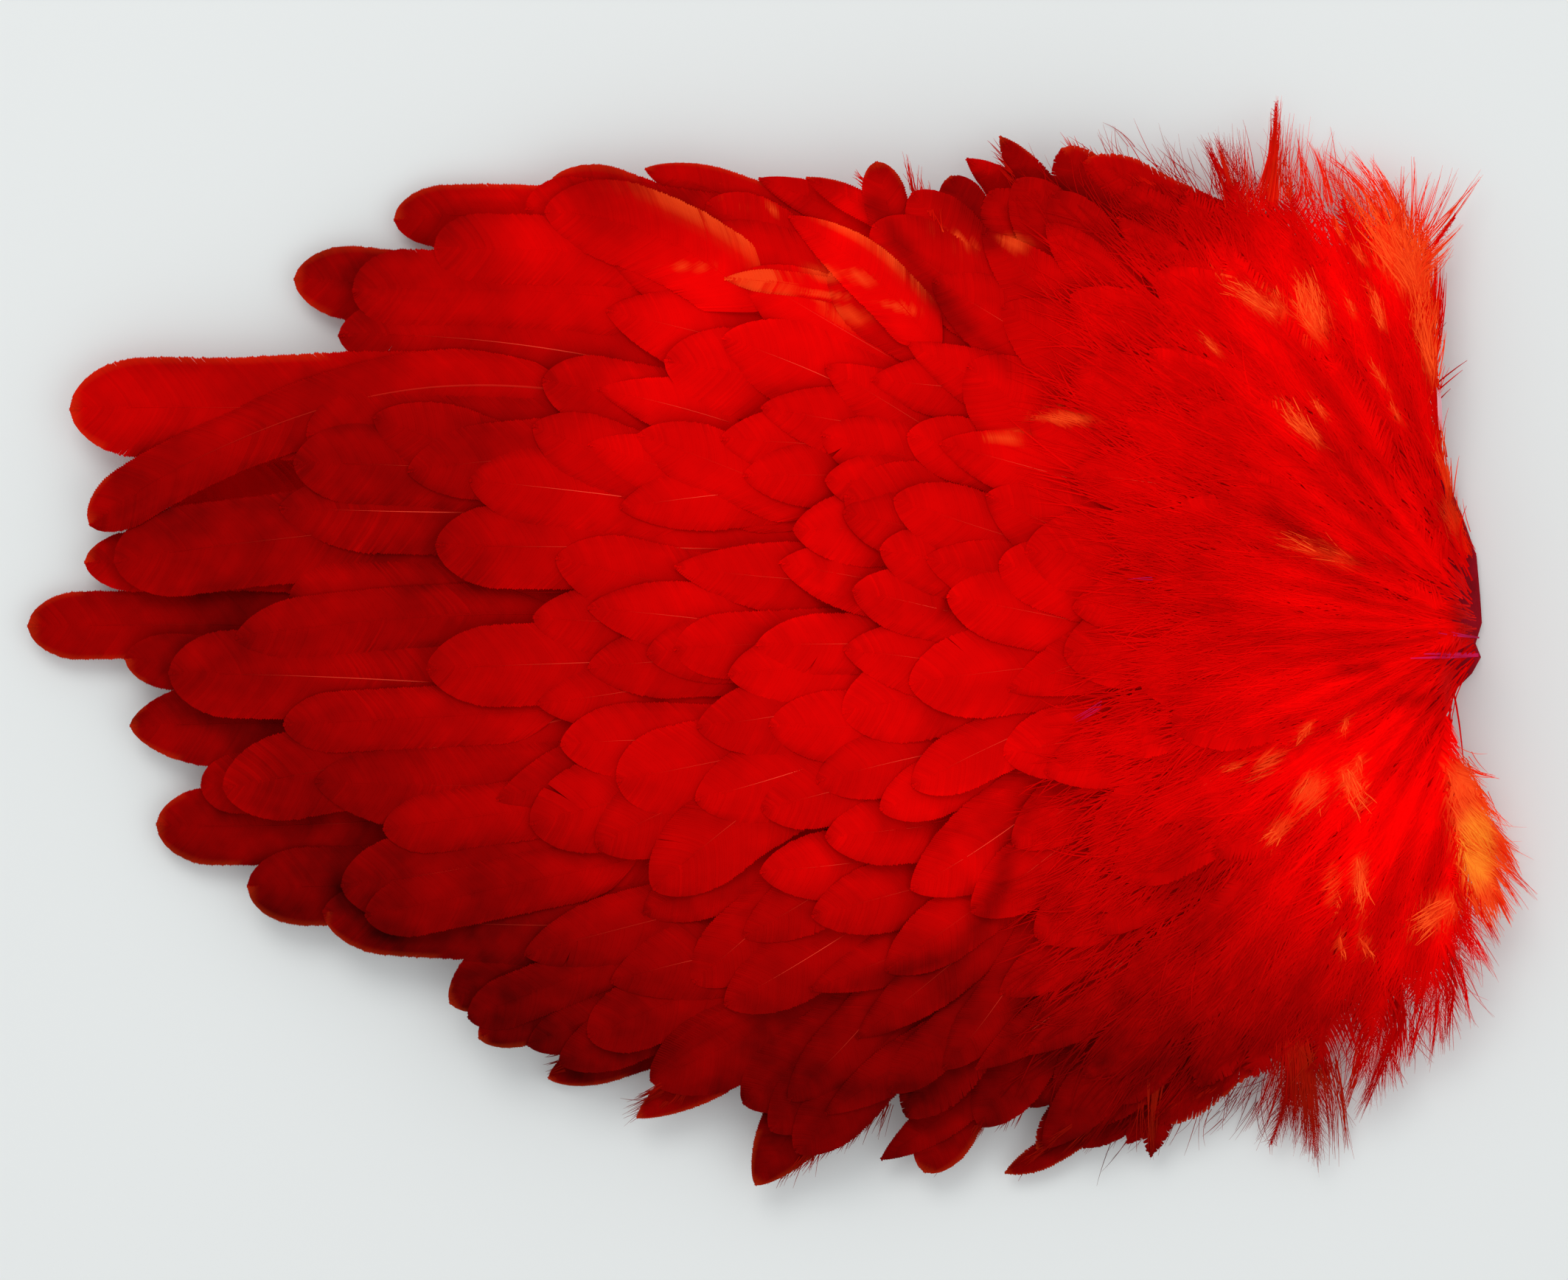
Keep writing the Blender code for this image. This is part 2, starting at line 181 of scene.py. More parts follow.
def finish_plan(name, centre, half, **looks):
    """A feather's plan, with centre line, normals and half widths at even stations."""
    tangent = np.gradient(centre, axis=0)
    tangent /= np.linalg.norm(tangent, axis=1, keepdims=True)
    normal = np.column_stack((-tangent[:, 1], tangent[:, 0]))
    length = np.linalg.norm(np.diff(centre, axis=0), axis=1).sum()
    return SimpleNamespace(name=name, centre=centre, tangent=tangent, normal=normal,
                           half=half, length=length, **{**LOOKS, **looks})


def at(values, places):
    """Values given at the even stations, read at other places along the feather."""
    if values.ndim == 1:
        return np.interp(places, STATION_PLACES, values)
    return np.stack([np.interp(places, STATION_PLACES, values[:, axis])
                     for axis in range(values.shape[1])], axis=-1)


def vane_points(feather, s, t):
    """Plan positions of the places s along and t across a feather."""
    return at(feather.centre, s) + (t * at(feather.half, s))[..., None] * at(feather.normal, s)


def tip_taper(to_tip, half, pointed):
    """Share of the full half width left at distances from the tip: blunt arch to sharp ogive."""
    reach = half * (1.25 + 0.75 * pointed + 1.6 * pointed ** 3)
    past = np.clip(1 - to_tip / reach, 0, 1)
    return (1 - past ** (2.2 - 0.5 * pointed)) ** (0.5 + 0.3 * pointed)


def half_width(length, width, pointed):
    """Half the breadth of a small feather at the stations along its length."""
    quill = 1 / width
    vane = quill + (1 - quill) * smooth_step(STATION_PLACES / 0.3)
    taper = tip_taper((1 - STATION_PLACES) * length, 0.5 * width, pointed)
    return 0.5 * width * vane * taper


def small_feather(name, tip, heading, length, width, turn=0, pointed=0.2, **looks):
    """A feather followed back from its tip along an even curve."""
    back = 1 - STATION_PLACES
    angles = np.radians(heading - turn * back)
    middle = 0.5 * (angles[1:] + angles[:-1])
    steps = length / (STATIONS - 1) * np.column_stack((np.cos(middle), np.sin(middle)))
    centre = np.vstack(((0, 0), np.cumsum(steps, axis=0)))
    centre += np.array(tip) - centre[-1]
    return finish_plan(name, centre, half_width(length, width, pointed), **looks)


def node_triangles(node):
    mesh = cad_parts[node].data
    mesh.calc_loop_triangles()
    points = np.array([vertex.co for vertex in mesh.vertices]) / MM
    corners = np.array([triangle.vertices for triangle in mesh.loop_triangles])
    return points, corners


def node_tree(points, corners):
    return BVHTree.FromPolygons([Vector(point) for point in points], corners.tolist())


def bilinear(grid, row, column):
    """Value of a grid at places between its points."""
    r = np.minimum(row.astype(int), grid.shape[0] - 2)
    c = np.minimum(column.astype(int), grid.shape[1] - 2)
    v = row - r
    u = column - c
    return ((1 - v) * ((1 - u) * grid[r, c] + u * grid[r, c + 1])
            + v * ((1 - u) * grid[r + 1, c] + u * grid[r + 1, c + 1]))


def top_of(tree, x, y):
    """Height of the highest surface below a high point, or nan beside the solid."""
    hit = tree.ray_cast(Vector((x, y, 100)), Vector((0, 0, -1)))[0]
    return math.nan if hit is None else hit.z


def numbered(**groups):
    """Values by node name, from values by number within each group of feathers."""
    return {f"{group}_{number:02d}": value for group, values in groups.items()
            for number, value in values.items()}


# How the visible vane of some feathers differs from its solid: tip moved up by millimetres,
# breadth and brightness as multiples, the brightness partly the feather's own tone and partly
# painted light and shade
AS_ITS_SOLID = (0, 1, 1)
SOLID_CHANGES = numbered(
    saddle_feather={1: (0, 1, 1.25), 2: (-1.5, 1.06, 1.3), 3: (0.6, 1.06, 0.95),
                    4: (-0.4, 1, 0.95), 5: (-0.8, 0.84, 1.15), 6: (0.3, 1, 0.75),
                    7: (0.5, 1.1, 0.75), 8: (0.2, 1, 0.95), 9: (1, 0.95, 0.9),
                    10: (0.3, 0.95, 0.85)},
    upper_flank_feather={1: (-2, 0.85, 1), 2: (0, 1, 0.8), 3: (0, 1, 0.85), 4: (0, 0.9, 0.8),
                         5: (-0.7, 0.84, 0.75), 6: (-0.5, 0.72, 1), 7: (-1.5, 0.8, 1.15),
                         8: (-0.6, 0.9, 1.35), 9: (-0.2, 0.95, 1.1), 10: (-1, 0.95, 1.15)},
    lower_flank_feather={1: (0, 1, 1.3), 4: (0, 1.1, 1.5), 5: (1.2, 0.75, 1), 7: (0, 0.6, 1),
                         8: (0, 0.9, 1), 9: (0.2, 1.04, 0.9)},
    upper_down_tuft={1: (0, 0.7, 1), 5: (0, 0.45, 1), 6: (0, 0.5, 1)},
    lower_down_tuft={1: (0, 1, 1.35), 2: (0, 1, 1.3), 3: (0, 1, 1.3), 4: (0, 0.8, 1.2),
                     5: (0, 0.6, 1), 6: (0, 0.75, 1), 7: (0, 0.7, 1), 8: (0, 0.45, 1)},
)

# Vanes shown a little nearer the middle than their solids, in millimetres along X
SIDE_SHIFTS = numbered(upper_down_tuft={5: -0.8, 6: -2.4},
                       lower_down_tuft={5: -1.2, 6: -0.6, 7: -1, 8: -2.4})

# Vanes whose tip lies a little to one side of its solid's, in millimetres along X
TIP_SIDES = numbered(saddle_feather={5: 0.8, 6: 0.65}, upper_down_tuft={6: -2},
                     lower_flank_feather={7: 1, 8: -0.8, 9: 0.4},
                     lower_down_tuft={4: -0.5, 6: -1.2, 7: -1.2})

# Feathers drawn out to a fine point: share of the length from which they narrow
SPIKES = numbered(upper_down_tuft={1: 0.45, 5: 0.5}, lower_down_tuft={1: 0.6})

# How pointed the tips of some feathers are shown
TIP_SHAPES = numbered(saddle_feather={3: 0.3, 5: 0.35, 7: 0.6},
                      upper_flank_feather={6: 1, 7: 0.9},
                      lower_flank_feather={3: 0.5, 8: 0.35, 9: 0.75})

# Ranks in the laying order of the large feathers that lie lowest
GROUND_RANKS = numbered(saddle_feather={1: -189, 2: -187, 3: -190, 4: -188, 5: -186, 6: -185,
                                        7: -184, 8: -183, 9: -181, 10: -182},
                        upper_flank_feather={7: -200, 8: -199, 9: -198, 10: -197, 11: -196})

# Reading a solid: how far inside its ends the outer slices lie, the share of its breadth within
# which heights are read, and the start and run along it over which a moved tip goes its way
SLICE_INSET = 0.05
READ_BREADTH = 0.9
MOVE_START = 0.3
MOVE_RUN = 0.5

# Its tip, drawn anew: the share of the length from which it is, the places of the full and of the
# narrowing breadth, the ratio of both at a round tip, how fast less than that makes it pointed,
# and how near the end the solid's own breadth still counts, in millimetres
NEW_TIP = 0.72
FULL_PLACE = 0.58
NARROW_PLACE = 0.85
ROUND_RATIO = 0.86
POINTED_GAIN = 2.6
OWN_BREADTH_TO = 3


def solid_feather(node):
    """Plan and top surface of one packed feather, read from slices across its chord."""
    points, corners = node_triangles(node)
    flat = points[:, :2]
    gaps = np.linalg.norm(flat[:, None] - flat[None], axis=2)
    first, second = np.unravel_index(gaps.argmax(), gaps.shape)
    ends = sorted((flat[first], flat[second]), key=lambda end: math.dist(end, HEAD_POINT))
    chord = (ends[1] - ends[0]) / np.linalg.norm(ends[1] - ends[0])
    side = np.array((-chord[1], chord[0]))
    along = (flat - ends[0]) @ chord
    aside = (flat - ends[0]) @ side
    places = np.linspace(along.min(), along.max(), SLICES)
    places[0] += SLICE_INSET
    places[-1] -= SLICE_INSET
    edges = np.vstack((corners[:, [0, 1]], corners[:, [1, 2]], corners[:, [2, 0]]))
    middles = []
    halves = []
    for place in places:
        a, b = along[edges[:, 0]], along[edges[:, 1]]
        crossing = (a - place) * (b - place) < 0
        share = (place - a[crossing]) / (b[crossing] - a[crossing])
        across = aside[edges[crossing, 0]]
        across = across + share * (aside[edges[crossing, 1]] - across)
        middles.append(0.5 * (across.max() + across.min()))
        halves.append(0.5 * (across.max() - across.min()))
    inner = slice(2, SLICES - 2)
    bend = np.polynomial.Polynomial.fit(places[inner], np.array(middles)[inner], 4)
    halves = np.array(halves) / np.sqrt(1 + np.gradient(bend(places), places) ** 2)
    kernel = np.array((1, 2, 3, 2, 1)) / 9
    halves[inner] = np.convolve(halves, kernel, mode="same")[inner]
    fine = np.linspace(places[0], places[-1], STATIONS)
    shift, broader, _ = SOLID_CHANGES.get(node, AS_ITS_SOLID)
    halves = broader * np.interp(fine, places, halves)
    lateral = bend(fine)
    centre = ends[0] + fine[:, None] * chord + lateral[:, None] * side
    centre[:, 0] += SIDE_SHIFTS.get(node, 0) * ramp(-STATION_PLACES, -1, 0.25)
    moved = ramp(STATION_PLACES, MOVE_START, MOVE_RUN)
    centre[:, 0] += TIP_SIDES.get(node, 0) * moved
    centre[:, 1] += shift * moved
    feather = finish_plan(node, centre, halves)
    full = float(at(halves, NEW_TIP))
    narrowing = ROUND_RATIO - at(halves, NARROW_PLACE) / at(halves, FULL_PLACE)
    pointed = TIP_SHAPES.get(node, float(np.clip(POINTED_GAIN * narrowing, 0, 1)))
    to_tip = (1 - STATION_PLACES) * feather.length
    arched = full * tip_taper(to_tip, full, pointed)
    rounded = np.minimum(full, np.maximum(arched, halves * (to_tip > OWN_BREADTH_TO)))
    feather.half = np.where(STATION_PLACES > NEW_TIP, rounded, halves)
    if node in SPIKES:
        narrowing = np.clip((STATION_PLACES - SPIKES[node]) / (1 - SPIKES[node]), 0, 1)
        feather.half = np.minimum(feather.half, full * (1 - narrowing) ** 0.8)
    tree = node_tree(points, corners)
    s, t = np.meshgrid(CONTROL_S, CONTROL_T, indexing="ij")
    plan = vane_points(feather, s.ravel(), READ_BREADTH * t.ravel())
    heights = np.array([top_of(tree, x, y) for x, y in plan]).reshape(s.shape)
    feather.rest = fill_gaps(heights)
    return feather


def fill_gaps(heights):
    """Fill the places that no ray met from the nearest ones across, then along."""
    for row in heights:
        known = np.flatnonzero(~np.isnan(row))
        if len(known):
            row[:] = np.interp(np.arange(len(row)), known, row[known])
    known = np.flatnonzero(~np.isnan(heights[:, 0]))
    for column in heights.T:
        column[:] = np.interp(np.arange(len(column)), known, column[known])
    return heights


class HeightField:
    """The highest surface laid so far, in millimetres above the floor."""

    def __init__(self, tree):
        self.skin = tree
        columns = int((FIELD_HIGH[0] - FIELD_LOW[0]) / CELL)
        rows = int((FIELD_HIGH[1] - FIELD_LOW[1]) / CELL)
        x = FIELD_LOW[0] + (np.arange(columns) + 0.5) * CELL
        y = FIELD_LOW[1] + (np.arange(rows) + 0.5) * CELL
        heights = [[top_of(tree, one_x, one_y) for one_x in x] for one_y in y]
        self.height = np.nan_to_num(np.array(heights), nan=0)

    def cells(self, plan):
        columns = ((plan[..., 0] - FIELD_LOW[0]) / CELL).astype(int)
        rows = ((plan[..., 1] - FIELD_LOW[1]) / CELL).astype(int)
        return (np.clip(rows, 1, self.height.shape[0] - 2),
                np.clip(columns, 1, self.height.shape[1] - 2))

    def below(self, plan):
        """Greatest height in the cells round each plan position."""
        rows, columns = self.cells(plan)
        around = [self.height[rows + up, columns + right]
                  for up in (-1, 0, 1) for right in (-1, 0, 1)]
        return np.max(around, axis=0)

    def add(self, plan, heights):
        rows, columns = self.cells(plan)
        np.maximum.at(self.height, (rows.ravel(), columns.ravel()), heights.ravel())

    def soften(self):
        """Keep a blurred copy of the heights, by which hollows are found."""
        cells = np.arange(-BLUR_CELLS, BLUR_CELLS + 1)
        kernel = np.exp(-0.5 * (cells * CELL / HOLLOW_REACH) ** 2)
        kernel /= kernel.sum()
        blurred = self.height
        for axis in (0, 1):
            blurred = np.apply_along_axis(np.convolve, axis, blurred, kernel, mode="same")
        self.blurred = blurred

    def level(self, x, y):
        """The blurred height at plan positions."""
        column = np.clip((x - FIELD_LOW[0]) / CELL - 0.5, 0, self.height.shape[1] - 2)
        row = np.clip((y - FIELD_LOW[1]) / CELL - 0.5, 0, self.height.shape[0] - 2)
        return bilinear(self.blurred, row, column)

    def hollow(self, x, y, z):
        """How far points lie below their surroundings, from 0 to 1."""
        return smooth_step((self.level(x, y) - z) / HOLLOW_DEPTH)

    def shade(self, x, y, z):
        """Share of the light left at points in hollows and in the seams under edges."""
        seam = smooth_step((self.level(x, y) - z) / SEAM_DEPTH)
        return (1 - SEAM_SHADE * seam) * (1 - HOLLOW_SHADE * self.hollow(x, y, z))


def relax(heights):
    """One smoothing pass over the control points."""
    padded = np.pad(heights, 1, mode="edge")
    along = 0.25 * padded[:-2, 1:-1] + 0.5 * padded[1:-1, 1:-1] + 0.25 * padded[2:, 1:-1]
    padded = np.pad(along, 1, mode="edge")
    return 0.25 * padded[1:-1, :-2] + 0.5 * padded[1:-1, 1:-1] + 0.25 * padded[1:-1, 2:]


def lay(field, feather):
    """Settle a feather's vane on what lies below it and raise the field to it."""
    s, t = np.meshgrid(CONTROL_S, CONTROL_T, indexing="ij")
    plan = vane_points(feather, s, t)
    floor = field.below(plan) + feather.lift * LAYER_GAP
    if feather.rest is not None:
        floor = np.maximum(floor, feather.rest)
    heights = floor.copy()
    for _ in range(SETTLING_SWEEPS):
        heights = np.maximum(relax(heights), floor)
    edges = 0.5 * (heights[:, :1] + heights[:, -1:])
    arch = feather.arch * at(feather.half, CONTROL_S)[:, None] * (1 - np.abs(t) ** 1.7)
    heights = np.maximum(heights, edges + arch)
    feather.surface = ALONG_FINE @ heights @ ACROSS_FINE.T
    fine_s, fine_t = np.meshgrid(STATION_PLACES, np.linspace(-1, 1, RAISED_ACROSS), indexing="ij")
    field.add(vane_points(feather, fine_s, fine_t), surface_at(feather, fine_s, fine_t))


def surface_at(feather, s, t):
    """Height of the laid vane at places along and across it."""
    row = np.clip(s, 0, 1) * (FINE_ALONG - 1)
    column = 0.5 * (np.clip(t, -1, 1) + 1) * (FINE_ACROSS - 1)
    return bilinear(feather.surface, row, column)


class Ribbons:
    """Collects strips of quads with a tone at every point, and makes one mesh of them."""

    def __init__(self):
        self.points = []
        self.faces = []
        self.tones = []
        self.count = 0

    def add(self, rows, tones):
        """rows: strips x places along x points across x 3; tones the same with 4 values."""
        strips, places, across = rows.shape[:3]
        index = self.count + np.arange(strips * places * across).reshape(strips, places, across)
        quads = np.stack((index[:, :-1, :-1], index[:, :-1, 1:],
                          index[:, 1:, 1:], index[:, 1:, :-1]), axis=-1)
        self.points.append(rows.reshape(-1, 3))
        self.tones.append(tones.reshape(-1, 4))
        self.faces.append(quads.reshape(-1, 4))
        self.count += strips * places * across

    def mesh(self, name):
        points = np.concatenate(self.points) * MM
        faces = np.concatenate(self.faces)
        tones = np.concatenate(self.tones)
        mesh = bpy.data.meshes.new(name)
        mesh.vertices.add(len(points))
        mesh.vertices.foreach_set("co", points.astype(np.float32).ravel())
        mesh.loops.add(faces.size)
        mesh.loops.foreach_set("vertex_index", faces.astype(np.int32).ravel())
        mesh.polygons.add(len(faces))
        mesh.polygons.foreach_set("loop_start", np.arange(0, faces.size, 4, dtype=np.int32))
        mesh.update(calc_edges=True)
        tone = mesh.attributes.new("tone", "FLOAT_COLOR", "POINT")
        tone.data.foreach_set("color", tones.astype(np.float32).ravel())
        mesh.shade_smooth()
        return mesh


# Fine loose barbs: points along one, how steeply one may come down, the share of its lift that it
# has at the root, and how much narrower its tip is
STRAND_PLACES = 8
STRAND_FALL = 0.35
ROOT_LIFT = 0.15
STRAND_TAPER = 0.8

# Kinds of them: spread of the heading and of the bend in degrees, lengths as multiples, breadths
# and lifts in millimetres, tones, and the share of the length over which orange grows in. A pair
# is drawn evenly between its two values, and four are a middle, a spread and two limits
STRAND_KINDS = {
    "fluff": dict(sway=0, lengths=1, bends=18, breadths=(0.1, 0.24), lifts=(0.03, 0.28),
                  tones=(1, 0.06, 0.7, 1.3), rooted=0),
    "flame": dict(sway=7, lengths=(0.5, 1.5), bends=12, breadths=(0.1, 0.2), lifts=(0.25, 0.45),
                  tones=1, rooted=0.5),
    "fringe": dict(sway=5, lengths=(0.9, 1.5), bends=10, breadths=(0.07, 0.13), lifts=(0, 0.15),
                   tones=1.35, rooted=0),
    "fuzz": dict(sway=0, lengths=(0.5, 1.15), bends=20, breadths=(0.05, 0.1), lifts=(0.1, 0.8),
                 tones=(1, 0.1, 0.7, 1.3), rooted=0),
    "lock": dict(sway=0, lengths=(0.7, 1.02), bends=3, breadths=(0.06, 0.12), lifts=(0.1, 0.9),
                 tones=(1.15, 0.1, 0.7, 1.4), rooted=0),
    "streak": dict(sway=3, lengths=(0.7, 1), bends=6, breadths=0.1, lifts=(0.35, 0.5), tones=1,
                   rooted=0),
    "quill": dict(sway=0, lengths=1, bends=0, breadths=0.16, lifts=0.3, tones=1, rooted=0),
    # Down under the feathers is toned darker, as painted shade
    "under": dict(sway=0, lengths=1, bends=12, breadths=(0.14, 0.3), lifts=(0.3, 1),
                  tones=(0.6, 0.95), rooted=0),
}

# Fluff of the front third: corners of its field, number of strands tried, spread of the heading,
# greatest length and outline
FLUFF_LOW = (-6, -50)
FLUFF_HIGH = (45, 48)
FLUFF_STRANDS = 19000
FLUFF_SWAY = 10
FLUFF_LONGEST = 13
FLUFF_REGION = (
    (-6, 46), (8, 49), (20, 49), (28, 48), (34, 45), (38, 42), (39.4, 34), (40.8, 26), (41, 20),
    (42.2, 13.6), (44, 8), (45.4, 2), (45.2, -3), (44.4, -5), (42.4, -7.4), (41.8, -9.5), (41.9, -13.7),
    (43, -18), (44.6, -24), (44.2, -30), (42.6, -36), (39.6, -40), (33, -44.5), (20, -50), (4, -54),
    (-8, -52), (-8, -20), (0, 0), (-8, 20),
)

# Share of the fuzz kept, and how far the barbs of a lock spread at its root and at its tip
FUZZ_SHARE = 0.7
LOCK_ROOT = 0.5
LOCK_TIP = 0.22

# Fringes along feather edges: first x, y, last x, y, heading, length, orange share
FRINGES = (
    (-32, -60.6, -21.4, -54.2, 238, 2.7, 0.03), (-13.6, -58.8, -8.4, -53.6, 238, 2.6, 0.03),
    (-21, -54.2, -19.6, -53.8, 252, 3, 0.03), (-7.6, -54.6, -5.6, -54.2, 246, 1.8, 0.03),
    (-4.4, -59.2, -0.8, -55.6, 216, 2.8, 0.03), (0.8, -56.4, 4.6, -53.2, 222, 3.2, 0.03),
    (7.4, -54.4, 10.6, -54.2, 262, 4.2, 0.03), (14, -52.2, 19, -50, 226, 3, 0.03),
    (10, -53.4, 14, -52.4, 226, 2.4, 0.03), (-57, -46.8, -56.2, -49.4, 200, 1.4, 0.03),
    (-45.8, -50.6, -47, -53.4, 206, 3.2, 0.03), (-45.4, -50.4, -46.8, -53.2, 212, 3.2, 0.03),
    (-47, -53.6, -42.4, -51.6, 232, 1.2, 0.03), (-17.8, 49.4, -14.2, 44.6, 100, 3, 0.03),
    (-8, 52.8, -6.6, 49, 132, 1.8, 0.03), (-0.2, 52.8, 4.6, 50.4, 124, 1.8, 0.03),
    (5, 50.2, 13.6, 47.4, 140, 2.2, 0.03), (-23.2, 50.2, -22.8, 48, 132, 1, 0.03),
    (-39, 49, -35, 48.6, 140, 1, 0.03),
)

# Barbs to the millimetre of a fringe
FRINGE_BARBS = 5

# Orange strands of a patch: the fewest, and how many more to the square millimetre of its half
# reach and half breadth; the places along X from which patches have them and from which they
# are at the edge; how many times more they are there; and the share that is red inside and there
FEWEST_FLAMES = 12
FLAME_DENSITY = 11
FLAMES_FROM = 5
EDGE_FLAMES_FROM = 42
EDGE_FLAMES = 2.5
RED_INSIDE = 0.25
RED_AT_EDGE = 0.06

# Barbs of a magenta dye: root x, y, tip x, y, count, spread, breadth
MAGENTA_STREAKS = (
    (3, -8.8, 0.2, -10.4, 8, 0.35, 0.07), (8.6, 5.3, 5.6, 5.1, 2, 0.1, 0.08),
    (45.2, -3.2, 36, -3.3, 2, 0.12, 0.4), (44.8, -1.2, 40, -1, 2, 0.2, 0.2),
)

# Down under the feathers: corners of its field, number of strands tried, spread of the heading,
# greatest length, the space it needs above the skin and how far it stays below the surface
UNDER_DOWN_LOW = (-50, -35)
UNDER_DOWN_HIGH = (44, 36)
UNDER_DOWN_STRANDS = 6000
UNDER_DOWN_SWAY = 40
UNDER_DOWN_LONGEST = 12
UNDER_DOWN_SPACE = 2
UNDER_DOWN_COVER = 1.2

# Least length of the strands of the fluff and of the down under the feathers
SHORTEST_STRAND = 5

# The bare quill at the upper front edge: root, direction, length, bend, strands and half breadth
QUILL_START = (40.7, 21.6)
QUILL_HEADING = 92
QUILL_LENGTH = 4.4
QUILL_BEND = 4
QUILL_STRANDS = 5
QUILL_HALF = 0.18

# Short fuzz along the edges of the front third: x, y, spread, heading, fan, length, count,
# orange share
FUZZ = (
    (-2, 47, 2, 122, 12, 5, 40, 0), (6, 48, 2, 120, 12, 5, 60, 0), (13, 47.5, 1.6, 118, 14, 6, 60, 0),
    (17.5, 47, 1.2, 104, 14, 6.5, 60, 0), (23.5, 47.5, 1.2, 92, 14, 6, 50, 0.2),
    (28, 46.5, 1.4, 100, 14, 6, 60, 0.2), (33, 45, 1.4, 116, 12, 6, 60, 0.5),
    (36.5, 43.5, 1.1, 100, 18, 5, 40, 0.7), (38.2, 40, 0.9, 62, 16, 4, 40, 0.8),
    (38.9, 33, 0.7, 84, 12, 3, 30, 0.8), (43, -15, 0.7, 305, 18, 4, 40, 0.8),
    (44, -20, 1, 305, 18, 5, 50, 0.9), (44.6, -24, 1, 305, 16, 5, 56, 0.9),
    (44.2, -28, 1.2, 298, 16, 5, 60, 0.5), (42, -33, 1.4, 286, 16, 5, 64, 0),
    (40.6, -38, 1.4, 280, 16, 5.5, 80, 0), (37.5, -42.5, 1.4, 272, 16, 5.5, 80, 0),
    (32.5, -46, 1.4, 262, 16, 5.5, 80, 0), (26.5, -48.5, 1.6, 262, 20, 7, 90, 0.1),
    (21, -50, 1.8, 246, 16, 5, 70, 0), (14, -51.5, 1.8, 240, 14, 5, 60, 0),
    (6, -53, 1.8, 236, 14, 4.5, 50, 0), (43, 10.6, 0.5, 116, 8, 3.8, 180, 0.3),
    (44, 8.4, 0.4, 118, 8, 3.2, 110, 0.1),
)

# Locks of long barbs past the edges: root x, y, tip x, y, bend, count, orange share
LOCKS = (
    (18.9, 46, 18, 56, 8, 7, 0.1), (19.9, 46, 19.2, 55, -6, 7, 0.1), (21.2, 46.5, 23, 58.4, 14, 60, 0.05),
    (22, 46.5, 22.8, 55, 10, 40, 0.15), (17.6, 46.5, 14.6, 54, 10, 40, 0),
    (17.9, 46.5, 15.8, 54.4, 8, 26, 0.1), (24.1, 48, 24.3, 57.4, -4, 6, 0.1),
    (25.7, 48, 26, 56.4, -4, 6, 0.1), (26.6, 47, 25.2, 54, 8, 14, 0.2), (29, 47, 26.8, 53.6, 14, 16, 0.2),
    (33.6, 46.6, 27.8, 52.8, 22, 14, 0.2), (35, 45.4, 30.4, 53, 24, 16, 0.3),
    (36.2, 44.4, 32.9, 52.2, 22, 18, 0.4), (36.4, 43.4, 34, 50.2, 14, 20, 0.6),
    (36.7, 43, 36.7, 50.8, -6, 8, 0.3), (37.3, 43, 38, 51.8, 8, 8, 0.3),
    (37.6, 43, 39.7, 50.3, -10, 8, 0.3), (37.9, 42.6, 41.1, 50.4, 10, 8, 0.3),
    (38.2, 42.4, 42.9, 50.3, 12, 8, 0.3), (38.6, 41.6, 45.8, 50.1, 10, 12, 0.4),
    (38.6, 40, 43.2, 44.2, 12, 16, 0.6), (38.8, 38.6, 42.4, 42, 12, 14, 0.7),
    (39.4, 33, 40.6, 36.6, 10, 8, 0.5), (40, 28.4, 41.2, 33.2, 12, 8, 0.6),
    (43, -15.4, 47.4, -16.8, 10, 8, 0.3), (44, -18.6, 48.3, -22.4, -16, 12, 0.6),
    (44.6, -20.6, 49.2, -25.2, -16, 16, 0.7), (45, -22, 50.2, -27.6, -14, 16, 0.5),
    (45.6, -24.4, 51.9, -30.1, -10, 14, 0.3), (45.2, -25.6, 50.4, -31.6, -14, 16, 0.3),
    (45, -27, 48.8, -32.8, -16, 16, 0.2), (44, -30, 47.4, -35.4, -14, 16, 0),
    (43.4, -33, 46.9, -38.6, -10, 16, 0), (42.6, -37, 44.2, -44.2, -6, 12, 0),
    (42, -40, 41.4, -47.3, 4, 14, 0), (40.2, -41, 39.5, -48.5, -4, 14, 0),
    (38.6, -41.5, 37.2, -48.6, 6, 14, 0), (34.2, -46, 37, -50.8, -10, 7, 0),
    (35.4, -44, 31.6, -54.2, -14, 26, 0), (31.6, -46.5, 30, -54.6, -10, 20, 0.1),
    (29, -48, 30.9, -58.9, -12, 14, 0.1), (28.2, -48, 29.6, -59.6, -12, 12, 0.1),
    (25.4, -46, 27.4, -59.6, -16, 44, 0.06), (25, -46, 26.2, -58.4, -12, 40, 0.06),
    (24.4, -46, 24.8, -57.6, -12, 34, 0.04), (24, -46, 23, -57.2, -16, 22, 0.02),
    (23.4, -46, 20.8, -57.4, -20, 12, 0.02), (23, -46, 19.5, -56.2, -26, 10, 0.02),
    (9.4, -50, 9, -58.6, 6, 24, 0.06), (6.4, -50, 1.2, -57.8, -14, 26, 0),
    (12, -50, 6.2, -57.4, -12, 26, 0),
)

# Light over the patch as a share: in the middle, lost at the back, along the lower flank and
# along the upper flank, gained at the front end, and its streaks there
MIDDLE_LIGHT = 0.63
BACK_LOSS = 0.56
LOW_LOSS = 0.78
HIGH_LOSS = 0.38
FRONT_GAIN = 0.08
STREAK_GAIN = 0.2

# Start and run of these in millimetres: the back, the upper flank across and towards the front,
# and the front end; then the lower flank, which starts further down from one place on
BACK_RAMP = (36, 42)
HIGH_RAMP = (36, 12)
HIGH_FRONT_RAMP = (-30, 12)
FRONT_RAMP = (2, 30)
LOW_START = 16
LOW_RUN = 38
LOW_FURTHER_FROM = 12

# Place along X from which the streaks of the front end spread
STREAK_CENTRE = 45


